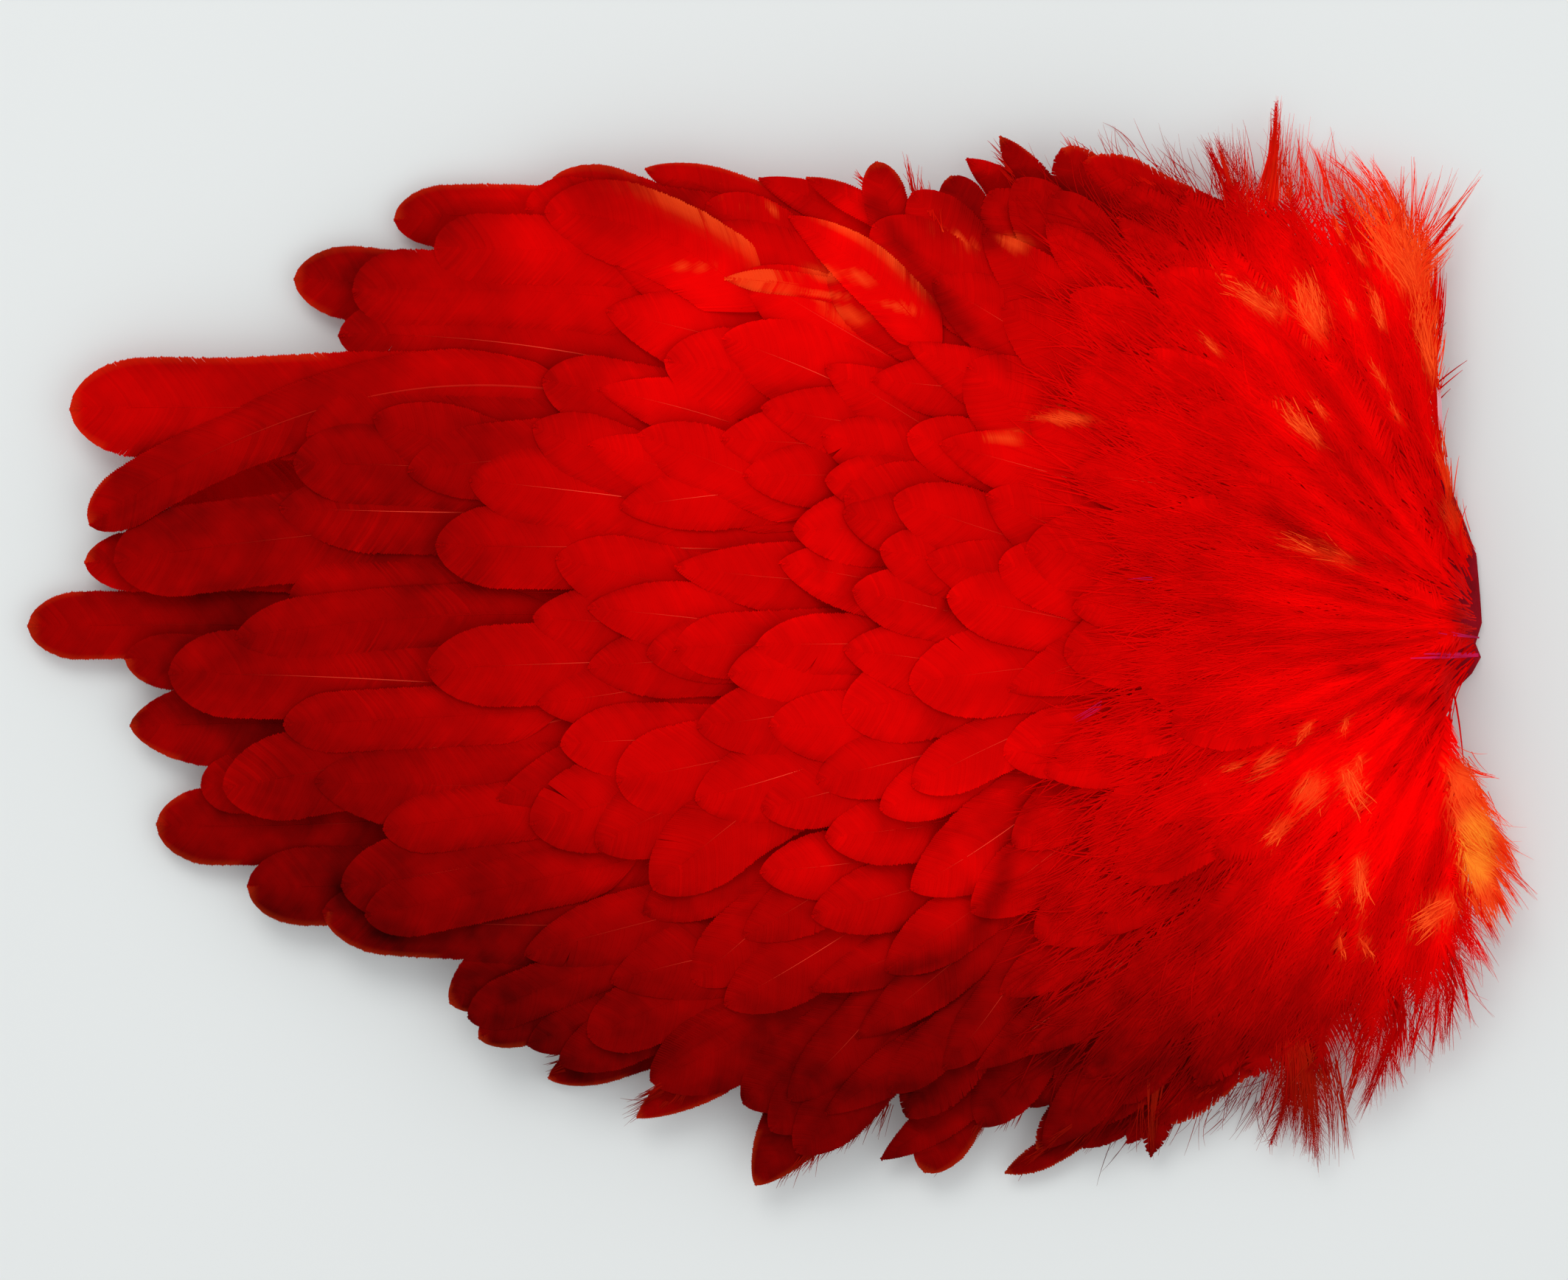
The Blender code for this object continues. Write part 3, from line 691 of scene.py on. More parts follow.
def light_at(x, y):
    """Painted light and shade over the patch: darker at the back and along the lower flank."""
    back = ramp(-x, *BACK_RAMP)
    downward = -y - LOW_START - 0.06 * x - 0.3 * np.clip(x - LOW_FURTHER_FROM, 0, None)
    low = smooth_step(downward / LOW_RUN)
    high = ramp(y, *HIGH_RAMP) * ramp(-x, *HIGH_FRONT_RAMP)
    front = ramp(x, *FRONT_RAMP)
    angle = np.arctan2(y, x - STREAK_CENTRE)
    away = np.hypot(y, x - STREAK_CENTRE)
    streak = np.sin(17 * angle + 1.3 * np.sin(away / 9))
    streak = streak * np.sin(31 * angle + away / 12 + 1)
    value = MIDDLE_LIGHT * (1 - BACK_LOSS * back) * (1 - LOW_LOSS * low)
    value = value * (1 - HIGH_LOSS * high) + FRONT_GAIN * front
    for spot_x, spot_y, reach, gain in LIGHT_SPOTS:
        value = value + gain * np.exp(-((x - spot_x) ** 2 + (y - spot_y) ** 2) / reach ** 2)
    shade = 0
    for first_x, first_y, last_x, last_y, breadth, strength in FOLDS:
        run_x, run_y = last_x - first_x, last_y - first_y
        place = ((x - first_x) * run_x + (y - first_y) * run_y) / (run_x ** 2 + run_y ** 2)
        place = np.clip(place, 0, 1)
        off = np.hypot(x - first_x - place * run_x, y - first_y - place * run_y)
        shade = np.maximum(shade, strength * smooth_step(1 - off / breadth))
    return value * (1 - shade) * (1 + STREAK_GAIN * front * streak)


# Where the feathers catch more light, or less: x, y, reach, gain
LIGHT_SPOTS = (
    (31, -19, 12, 0.28), (25, 35, 8, 0.16), (14, 22, 8, 0.06), (-106, 27, 8, 0.11), (-27, 36, 7, 0.14),
    (-38, -15, 12, -0.06), (-60, -28, 7, -0.05), (-8, 44, 8, -0.1), (-74, -2, 8, 0.06),
    (-84, -15, 8, -0.04), (12, -27, 6, -0.14), (-96, -3, 7, -0.06), (-32, -39, 7, -0.07),
    (-60, 45, 6, 0.25), (-24, 45, 4.5, 0.3), (-42, 33, 9, 0.13), (24, 45, 5, 0.2), (-72, 36, 6, 0.13),
    (-13, -28.5, 4.5, 0.14), (-24, -27, 6, 0.1),
)

# Folds between groups of feathers, where less light reaches: ends, reach and strength
FOLDS = (
    (-21.9, 46.3, -16.3, 38.1, 2.2, 0.45), (-16.3, 38.1, -11.6, 32.5, 2.6, 0.5),
    (-11.6, 32.5, -7.2, 28.6, 2, 0.3), (-4.4, -19.4, -6.8, -23.2, 1.8, 0.25),
    (-6.8, -23.2, -7.7, -28.2, 2, 0.4), (-7.7, -28.2, -10.1, -32.9, 2.2, 0.45),
    (-10.1, -32.9, -13, -36.3, 2.4, 0.45), (-13, -36.3, -23.4, -38.9, 2, 0.35),
    (-13, -36.3, -13.9, -40.5, 2.4, 0.25), (-4.6, -41.5, -8.7, -48.6, 2.4, 0.3),
    (4.9, -41.5, 3.9, -47.4, 2.4, 0.2), (22, 12.5, 28, 8.5, 2, 0.35), (31, 7.5, 36, 6, 1.8, 0.3),
    (29.5, -4.5, 33, -4.5, 1.6, 0.3), (36, -8, 39, -8, 1.6, 0.3), (42, 1.5, 45, -1.5, 2, 0.4),
    (-11, 45, -9, 42, 2.4, 0.35),
)

# Patches where thin pale down lets more orange show: x, y, reach along, reach across, heading,
# strength
ORANGE_PATCHES = (
    (19.9, 35.8, 3, 1, 143, 0.8), (26.4, 34.6, 3, 1.5, 107, 1), (22.6, 35.2, 1.6, 0.8, 120, 0.5),
    (33.7, 34.6, 2.1, 0.55, 107, 0.8), (30.8, 34.9, 1.1, 0.4, 110, 0.5), (25.2, 21.8, 2.5, 0.8, 136, 0.9),
    (27.2, 23.7, 1, 0.4, 115, 0.7), (15.3, 30.7, 1.3, 0.45, 135, 0.5), (31.7, 40.8, 1.2, 0.4, 120, 0.6),
    (29.4, 43.7, 1.3, 0.35, 115, 0.5), (34, 27.2, 1.5, 0.4, 125, 0.5), (35.7, 23.4, 1.1, 0.35, 115, 0.5),
    (36.4, 40.6, 5.4, 2.2, 118, 1), (38.2, 39.4, 4.2, 1.3, 98, 0.9), (39, 31.8, 5, 1, 100, 0.9),
    (41.2, 17.4, 3.4, 0.7, 103, 0.5), (25.5, -11.4, 1.3, 0.45, 240, 0.6),
    (29.8, -10.8, 0.9, 0.3, 265, 0.5), (21.4, -15, 1.6, 0.8, 230, 0.95), (17.8, -15.3, 1, 0.4, 190, 0.7),
    (26.1, -18.3, 2, 1.5, 250, 1), (30.6, -17.4, 2.2, 1.1, 295, 1), (31.3, -14.9, 0.9, 0.4, 280, 0.6),
    (22.8, -22.3, 1.5, 0.9, 225, 0.9), (28.6, -28.6, 2.2, 0.5, 275, 0.85),
    (31.6, -27.8, 2.5, 0.8, 275, 0.95), (39.9, -31.4, 2.7, 1.4, 215, 0.9),
    (29.5, -34.9, 1.3, 0.3, 280, 0.6), (32.1, -34.9, 1.4, 0.35, 300, 0.6),
    (43.2, -17.8, 3.2, 1.9, 298, 1), (44.7, -22.6, 4.2, 2.6, 302, 1), (45, -27.6, 4, 1.8, 292, 1),
    (-27.4, 38.7, 2, 0.9, 165, 0.5), (-23.2, 38.2, 1.8, 0.6, 150, 0.45),
    (-24.6, 34.2, 2.8, 0.8, 160, 0.4), (-12.4, 42.2, 2.2, 0.5, 147, 0.7),
    (-18.9, 34.9, 2.4, 0.4, 165, 0.4), (-27.2, 36.4, 3, 0.3, 172, 0.5), (-42, 39.4, 2.9, 0.25, 174, 0.4),
    (-34.6, 46.1, 3.2, 0.2, 168, 0.6), (-6.4, 42, 1.8, 1, 160, 0.5), (-17.2, 43.4, 1.8, 0.2, 169, 0.6),
    (-1, 22.7, 3.2, 0.6, 178, 0.7), (-7.4, 20.8, 2.6, 0.6, 178, 0.5), (27.4, 8, 3.6, 1, 160, 0.3),
)

# Places where single barbs show as dark and light stripes: x, y, reach
COMBS = (
    (-87.5, 19.8, 5), (-78.8, 10.1, 5.5), (-75.5, -5.7, 6), (-67.3, 3.2, 4), (-69.4, -15.9, 4.5),
    (-90.3, -14.9, 4.5),
)


# The yellow tuft at the lower front edge: its middle, and its reach along X and Y
YELLOW_CENTRE = (44.4, -24.4)
YELLOW_REACH = (2.2, 4)


def yellow_at(x, y):
    """How far the orange turns yellow: only in the thin tuft at the lower front edge."""
    distance = np.hypot((x - YELLOW_CENTRE[0]) / YELLOW_REACH[0],
                        (y - YELLOW_CENTRE[1]) / YELLOW_REACH[1])
    return smooth_step(1.5 - distance)


def comb_at(x, y):
    """How strongly single barbs stand out at plan positions."""
    total = np.zeros(np.shape(x))
    for comb_x, comb_y, reach in COMBS:
        distance = np.hypot(x - comb_x, y - comb_y) / reach
        total = np.maximum(total, smooth_step(1.3 - distance))
    return total


def orange_at(x, y, ragged):
    """Orange share at plan positions, broken up from barb to barb over the loose down."""
    total = np.zeros(np.shape(x))
    downy = ramp(x, -2, 12)
    for patch_x, patch_y, reach, breadth, heading, strength in ORANGE_PATCHES:
        angle = math.radians(heading)
        along = (x - patch_x) * math.cos(angle) + (y - patch_y) * math.sin(angle)
        aside = -(x - patch_x) * math.sin(angle) + (y - patch_y) * math.cos(angle)
        narrowed = breadth * (1 - 0.45 * smooth_step(along / reach))
        distance = np.sqrt((along / reach) ** 2 + (aside / narrowed) ** 2)
        rough = (0.25 + 1.1 * downy) * (0.4 + smooth_step(0.5 + along / reach))
        edge = distance + rough * (ragged - 0.5)
        soft = smooth_step((1.35 - edge) / (1.1 - 0.3 * downy))
        thin = 1 - 0.45 * downy * (1 - ramp(x, 41, 1.5))
        total = np.maximum(total, strength * thin * soft)
    return total


def barb_ends(feather, side, root, first):
    """Places on the outline where barbs end: evenly apart, up to the tip."""
    fine = np.linspace(first, 1, OUTLINE_PLACES)
    outline = vane_points(feather, fine, np.full(OUTLINE_PLACES, side))
    arc = np.concatenate(([0], np.cumsum(np.linalg.norm(np.diff(outline, axis=0), axis=1))))
    lead = BARB_LEAD * (1 + 2 * feather.loose) * feather.half.max() / feather.length
    lead = min(lead, (0.4 + 0.3 * feather.loose) * (1 - first))
    start = np.interp(first + lead, fine, arc)
    progress = (root - root[0]) / (root[-1] - root[0])
    return np.interp(start + (arc[-1] - start) * progress, arc, fine)


def part_barbs(feather, root):
    """Shifts along the feather that open a few splits in a vane."""
    shift = np.zeros(len(root))
    for _ in range(rng.poisson(feather.split)):
        place = rng.uniform(*SPLIT_PLACES)
        size = rng.uniform(*SPLIT_SIZES) / feather.length
        away = root - place
        shift += size * np.sign(away) * np.exp(-np.abs(away) * feather.length / SPLIT_REACH)
    return shift


def gather(feather, plan):
    """Draw the ends of neighbouring loose barbs together into pointed locks."""
    count, places = plan.shape[:2]
    f = np.linspace(0, 1, places)[None, :, None]
    per_lock = LOCK_BREADTH / feather.spacing
    lock = np.cumsum(rng.random(count) < 1 / per_lock)
    members = np.bincount(lock).astype(float)
    means = np.zeros((len(members),) + plan.shape[1:])
    np.add.at(means, lock, plan)
    means /= members[:, None, None]
    pull = 0.55 * feather.loose * f ** 2.2
    gathered = plan + pull * (means[lock] - plan)
    onward = gathered[:, -1:] - gathered[:, -2:-1]
    onward /= np.maximum(np.linalg.norm(onward, axis=2, keepdims=True), 1e-6)
    extra = LOCK_REACH * feather.loose * min(2.5 * feather.loose, 1)
    extra = extra * rng.uniform(-1, 1, (count, 1, 1))
    return gathered + extra * onward * np.clip(f - 0.4, 0, None) ** 1.5


def beside_strips(plan, side=1):
    """Unit sideways directions along strips of plan positions."""
    path = np.gradient(plan, axis=1)
    path /= np.maximum(np.linalg.norm(path, axis=2, keepdims=True), 1e-6)
    return np.stack((-path[..., 1], path[..., 0]), axis=-1) * side


def near_rim(s, t, side, side_run, tip, tip_run):
    """How near places are to a feather's sides or tip: from 0 at side and tip, 1 a run on."""
    return np.maximum(ramp(np.abs(t), side, side_run), ramp(s, tip, tip_run))


def drift(count, span, scale):
    """Slow random change from barb to barb, over a span of neighbours."""
    steps = rng.normal(0, 1, count + span - 1)
    return np.convolve(steps, np.ones(span) / scale, mode="valid")[:, None, None]


def tone_values(x, y, bright, orange=0, shaft=0):
    """Tones of points: brightness, orange share, shaft share and yellow share."""
    tones = np.zeros(x.shape + (4,))
    tones[..., 0] = bright
    tones[..., 1] = np.clip(orange, 0, 1)
    tones[..., 2] = shaft
    tones[..., 3] = yellow_at(x, y)
    return tones


def barb_ribbons(feather, ribbons, field):
    """The vane of a feather as abutting barbs on both sides of its shaft."""
    places = feather.barb_places
    loose = feather.loose
    spacing = feather.spacing
    first = feather.vane_start
    count = max(int(feather.length * (LAST_BARB - first) / spacing), 12)
    f = np.linspace(0, 1, places)[None, :]
    for side in (-1, 1):
        root = np.linspace(first, LAST_BARB, count)
        end = barb_ends(feather, side, root, first)
        end = np.clip(end + part_barbs(feather, root), root, 1)
        root = root + rng.normal(0, ROOT_JITTER * spacing / feather.length, count)
        s = root[:, None] + (end - root)[:, None] * f ** BARB_SWEEP
        reach = 1 + feather.fringe * np.clip(rng.normal(0, 1, count), -2.5, 2.5)
        reach = VANE_REACH * reach[:, None]
        aside = side * at(feather.half, end)[:, None] * f * (1 + (reach - 1) * f)
        aside = aside - side * SHAFT_OVERLAP * (1 - f)
        plan = at(feather.centre, s) + aside[..., None] * at(feather.normal, s)
        t = np.clip(aside / np.maximum(at(feather.half, s), 0.3), -1, 1)
        beside = beside_strips(plan, side)
        apart = np.abs((np.gradient(plan, axis=0) * beside).sum(axis=2))
        apart = np.clip(apart, 0.4 * spacing, 1.5 * spacing)
        if loose > 0:
            sway = rng.normal(0, LOOSE_SWAY * loose, (2, count, 1))
            push = sway * f ** 3
            plan = plan + push[0][..., None] * at(feather.tangent, s)
            plan = plan + 0.4 * push[1][..., None] * at(feather.normal, s)
            plan = gather(feather, plan)
            beside = beside_strips(plan, side)
        breadth = 0.5 * BARB_OVERLAP * (1 + 0.3 * loose) * apart
        thinned = np.clip(0.12 + 1.05 * loose, 0, 0.92)
        breadth = breadth * (1 - thinned * f ** max(6 - 6 * loose, 1))
        breadth = breadth * (1 - 0.75 * loose * smooth_step((root[:, None] - 0.5) / 0.35))
        roll = BARB_ROLL * (1 + rng.normal(0, 0.5, count)[:, None])
        rim = near_rim(s, t, 0.7, 0.3, 0.93, 0.07)
        height = surface_at(feather, s, t) - EDGE_SINK * rim * f ** 2
        height = height + HEIGHT_JITTER * rng.normal(0, 1, count)[:, None]
        height = height + loose * np.abs(rng.normal(0, LOOSE_RISE, count))[:, None] * f ** 2
        tangent_share = (beside * at(feather.tangent, s)).sum(axis=2) / feather.length
        normal_share = (beside * at(feather.normal, s)).sum(axis=2)
        normal_share = normal_share / np.maximum(at(feather.half, s), 0.4)
        rows = []
        for hand in (-1, 1):
            offset = hand * breadth
            near = surface_at(feather, s + offset * tangent_share, t + offset * normal_share)
            lean = np.clip(near - surface_at(feather, s, t), -0.3, 0.3) - side * offset * roll
            rows.append(np.dstack((plan + offset[..., None] * beside, height + lean)))
        rows = np.stack(rows, axis=2)
        ribbons.add(rows, barb_tones(feather, field, rows, s, t, count))


def plan_beyond(feather, s, t):
    """Plan positions a little past the outline, outwards from places on a feather."""
    outward = np.sign(t)[..., None] * at(feather.normal, s) * EDGE_LOOK
    return vane_points(feather, s, np.sign(t)) + outward + (
        ramp(s, 0.9, 0.1)[..., None] * at(feather.tangent, s) * EDGE_LOOK)


def barb_tones(feather, field, rows, s, t, count):
    """Tone of every barb point: painted shade along the rim and in the seams, and a thin outer rim made
    paler as painted light.
    """
    x, y, z = np.moveaxis(rows, -1, 0)
    jitter = rng.normal(0, 1, count)[:, None, None]
    slow = drift(count, 13, 3.6)
    outer = near_rim(s, t, 0.5, 0.5, 0.75, 0.25)[..., None]
    # Painted light and shade over the patch, times the feather's own tone
    bright = feather.tone * light_at(x, y)
    vivid = 0.015 + 0.03 * outer + 0.03 * feather.loose + 0.055 * comb_at(x, y)
    bright = bright * (1 + vivid * jitter + 0.02 * slow)
    # Painted shade along the rim, stronger on some stretches than on others
    painted_rim_shade = RIM_SHADE * smooth_step(0.55 + 0.6 * drift(count, 41, 6.4))
    bright = bright * (1 - painted_rim_shade * near_rim(s, t, 0.6, 0.4, 0.93, 0.07)[..., None])
    # Painted light on the thin outer edge, which looks paler where light passes through it
    thin_rim = near_rim(s, t, 0.9, 0.08, 0.985, 0.012)[..., None]
    bright = bright * (1 + PAINTED_RIM_LIGHT * (1 - feather.loose) * thin_rim)
    bright = bright * field.shade(x, y, z)
    orange = orange_at(x, y, np.broadcast_to(rng.random(count)[:, None, None], x.shape))
    # Painted orange glow on the thin edge where bare floor lies beyond it
    if feather.glow > 0:
        beyond = plan_beyond(feather, s, t)
        open_edge = smooth_step((1.2 - field.level(beyond[..., 0], beyond[..., 1])) / 0.8)
        thin = near_rim(s, t, 0.86, 0.14, 0.975, 0.025)
        orange = orange + feather.glow * (thin * open_edge)[..., None]
    if feather.margin > 0:
        across = ramp(feather.margin_side * t, 0.5, 0.45) if feather.margin_side else 1
        onward = ramp(s, feather.margin_start, 0.2)
        onward = onward * smooth_step((feather.margin_end - s) / 0.35)
        patchy = smooth_step(0.7 + 0.35 * drift(count, 9, 3))
        orange = orange + feather.margin * patchy * (across * onward)[..., None]
    return tone_values(x, y, bright, orange)


def shaft_ribbon(feather, ribbons, field):
    """The shaft: a tapered half-round strip standing a little above the vane."""
    s = np.linspace(feather.vane_start, SHAFT_END, SHAFT_PLACES)
    breadth = 0.5 * SHAFT_WIDTH * feather.shaft * (1.15 - 1.2 * s)
    centre = at(feather.centre, s)
    normal = at(feather.normal, s)
    level = surface_at(feather, s, np.zeros(SHAFT_PLACES))
    rise = SHAFT_RISE * feather.shaft * (1.1 - 0.7 * s)
    rows = [np.column_stack((centre + (hand * breadth)[:, None] * normal, level + up * rise))
            for hand, up in SHAFT_SECTION]
    rows = np.stack(rows, axis=1)[None]
    x, y, z = np.moveaxis(rows, -1, 0)
    # Painted light and shade, as on the vanes
    bright = feather.tone * light_at(x, y) * field.shade(x, y, z)
    fade = ramp(-s, -0.9, 0.3)[None, :, None]
    shown = feather.shaft_show * fade * (1 - field.hollow(x, y, z))
    ribbons.add(rows, tone_values(x, y, bright, shaft=shown))


# Places along X from which the down and the small feathers spread backwards
DOWN_SOURCE = 48
FEATHER_SOURCE = 44


def flow_heading(x, y):
    """Direction in degrees in which the down lies at a place."""
    return np.degrees(np.arctan2(y, x - DOWN_SOURCE))


def wander(spread, count):
    """Random differences round nothing, or none where there is no spread."""
    return rng.normal(0, spread, count) if spread else np.zeros(count)


def drawn(values, count):
    """One value for each strand, by the rule given with the kinds of strands."""
    if not isinstance(values, tuple):
        return np.full(count, float(values))
    if len(values) == 2:
        return rng.uniform(*values, count)
    middle, spread, low, high = values
    return np.clip(rng.normal(middle, spread, count), low, high)


def lay_strands(ribbons, field, kind, start, heading, length, orange=0, bend=0,
                ground=None, **changes):
    """Fine single barbs that start at places, turn by bend on the way and rest on the field.

    With a ground height they stand on it instead and rise under the feathers, by lift as a
    share of the space.
    """
    look = SimpleNamespace(**{**STRAND_KINDS[kind], **changes})
    count = len(start)
    heading = heading + wander(look.sway, count)
    length = length * drawn(look.lengths, count)
    bend = bend + wander(look.bends, count)
    breadth, lift, tone = (drawn(values, count)
                           for values in (look.breadths, look.lifts, look.tones))
    f = np.linspace(0, 1, STRAND_PLACES)
    angles = np.radians(heading[:, None] + bend[:, None] * (f[None, 1:] - 0.5 / STRAND_PLACES))
    step = length[:, None] / (STRAND_PLACES - 1)
    moves = np.stack((step * np.cos(angles), step * np.sin(angles)), axis=-1)
    plan = start[:, None, :] + np.concatenate((np.zeros((count, 1, 2)),
                                               np.cumsum(moves, axis=1)), axis=1)
    level = field.level(plan[..., 0], plan[..., 1])
    if ground is None:
        level = level + lift[:, None] * (ROOT_LIFT + (1 - ROOT_LIFT) * f[None, :])
        for place in range(1, STRAND_PLACES):
            fallen = level[:, place - 1] - STRAND_FALL * step[:, 0]
            level[:, place] = np.maximum(level[:, place], fallen)
    else:
        space = np.maximum(level - UNDER_DOWN_COVER - ground, 0)
        level = ground + lift[:, None] * space * smooth_step(1.4 * f[None, :])
    beside = beside_strips(plan)
    offset = 0.5 * breadth[:, None] * (1 - STRAND_TAPER * f[None, :] ** 2)
    rows = np.stack([np.dstack((plan + hand * offset[..., None] * beside, level))
                     for hand in (-1, 1)], axis=2)
    x, y = rows[..., 0], rows[..., 1]
    ragged = np.broadcast_to(rng.random(count)[:, None, None], x.shape)
    grown = smooth_step(f / look.rooted)[None, :, None] if look.rooted else 1
    own = np.full(count, orange)[:, None, None] * grown
    # Painted light and shade over the patch, times each strand's tone
    ribbons.add(rows, tone_values(x, y, tone[:, None, None] * light_at(x, y),
                                  np.maximum(own, orange_at(x, y, ragged))))


def scatter(low, high, count, sway, longest):
    """Strands spread evenly over a field: roots, headings, lengths and tips."""
    x = rng.uniform(low[0], high[0], count)
    y = rng.uniform(low[1], high[1], count)
    heading = flow_heading(x, y) + rng.normal(0, sway, count)
    length = rng.uniform(SHORTEST_STRAND, longest, count)
    tips = np.column_stack((x + length * np.cos(np.radians(heading)),
                            y + length * np.sin(np.radians(heading))))
    return np.column_stack((x, y)), heading, length, tips


def under_down(ribbons, field):
    """Soft down that stands on the skin and fills the space under the feathers."""
    start, heading, length, tips = scatter(UNDER_DOWN_LOW, UNDER_DOWN_HIGH, UNDER_DOWN_STRANDS,
                                           UNDER_DOWN_SWAY, UNDER_DOWN_LONGEST)
    ground = np.array([top_of(field.skin, x, y) for x, y in start])
    covered = np.minimum(field.level(*start.T), field.level(*tips.T))
    keep = covered - ground > UNDER_DOWN_SPACE
    lay_strands(ribbons, field, "under", start[keep], heading[keep], length[keep],
                ground=float(ground[keep].max()))


def front_fluff(ribbons, field):
    """Fine barbs lying along the flow over the front third, denser towards the front end."""
    start, heading, length, tips = scatter(FLUFF_LOW, FLUFF_HIGH, FLUFF_STRANDS, FLUFF_SWAY,
                                           FLUFF_LONGEST)
    keep = rng.random(FLUFF_STRANDS) < 0.15 + 0.85 * ramp(start[:, 0], -2, 30)
    for number in np.flatnonzero(keep):
        keep[number] = (inside(*start[number], FLUFF_REGION)
                        and inside(*tips[number], FLUFF_REGION))
    lay_strands(ribbons, field, "fluff", start[keep], heading[keep], length[keep])


def orange_flames(ribbons, field):
    """Ragged tufts of thin orange down over the front third, with some red barbs across."""
    for x, y, reach, breadth, heading, strength in ORANGE_PATCHES:
        if x < FLAMES_FROM:
            continue
        at_edge = x > EDGE_FLAMES_FROM
        count = FEWEST_FLAMES + FLAME_DENSITY * reach * breadth
        count = int(count * (EDGE_FLAMES if at_edge else 1))
        along = reach * rng.uniform(-1.2, 0.4, count)
        spread = 0.55 + 0.45 * smooth_step(0.8 + along / reach)
        aside = breadth * rng.uniform(-1, 1, count) * spread
        angle = math.radians(heading)
        start = np.column_stack((x + along * math.cos(angle) - aside * math.sin(angle),
                                 y + along * math.sin(angle) + aside * math.cos(angle)))
        share = np.clip(rng.normal(strength, 0.25, count), 0, 1)
        red = RED_AT_EDGE if at_edge else RED_INSIDE
        share = np.where(rng.random(count) < red, 0, share)
        lay_strands(ribbons, field, "flame", start, heading, reach, share)


def edge_fringes(ribbons, field):
    """Free barb ends along the edges of the flank feathers, with floor between them."""
    for first_x, first_y, last_x, last_y, heading, long, orange in FRINGES:
        run = math.hypot(last_x - first_x, last_y - first_y)
        count = int(FRINGE_BARBS * run)
        place = np.sort(rng.random(count))[:, None]
        start = np.array((first_x, first_y)) * (1 - place) + np.array((last_x, last_y)) * place
        start = start + rng.normal(0, 0.12, (count, 2))
        angle = math.radians(heading)
        back = 0.5 * long * np.array((math.cos(angle), math.sin(angle)))
        lay_strands(ribbons, field, "fringe", start - back, heading, long, orange)


def magenta_streaks(ribbons, field):
    """A few barbs and quills that took a magenta dye."""
    for root_x, root_y, tip_x, tip_y, count, spread, breadth in MAGENTA_STREAKS:
        start = np.array((root_x, root_y)) + rng.normal(0, 1, (count, 2)) * spread
        heading = math.degrees(math.atan2(tip_y - root_y, tip_x - root_x))
        long = math.hypot(tip_x - root_x, tip_y - root_y)
        lay_strands(ribbons, field, "streak", start, heading, long, breadths=breadth)


def bare_quill(ribbons, field):
    """The pinkish white quill that lies bare at the upper front edge of the skin."""
    aside = np.linspace(-QUILL_HALF, QUILL_HALF, QUILL_STRANDS)[:, None]
    start = np.array(QUILL_START) + aside * np.array((1, 0.1))
    lay_strands(ribbons, field, "quill", start, QUILL_HEADING, QUILL_LENGTH, bend=QUILL_BEND)


def edge_wisps(ribbons, field):
    """Loose barbs that stand out past the edges of the front third."""
    for x, y, spread, heading, fan, long, count, orange in FUZZ:
        count = int(FUZZ_SHARE * count)
        start = np.array((x, y)) + rng.normal(0, 1, (count, 2)) * spread
        lay_strands(ribbons, field, "fuzz", start, heading, long, orange, sway=fan)
    for root_x, root_y, tip_x, tip_y, bend, count, orange in LOCKS:
        start = np.array((root_x, root_y)) + rng.normal(0, LOCK_ROOT, (count, 2))
        run = np.array((tip_x, tip_y)) + rng.normal(0, LOCK_TIP, (count, 2)) - start
        heading = np.degrees(np.arctan2(run[:, 1], run[:, 0])) - 0.5 * bend
        lay_strands(ribbons, field, "lock", start, heading, np.hypot(run[:, 0], run[:, 1]),
                    orange, bend=bend)


def looseness(x, y):
    """How downy the feathers are: closed at the back, open towards the front end."""
    return float(smooth_step((x - 8 + 0.16 * abs(y)) / 36))


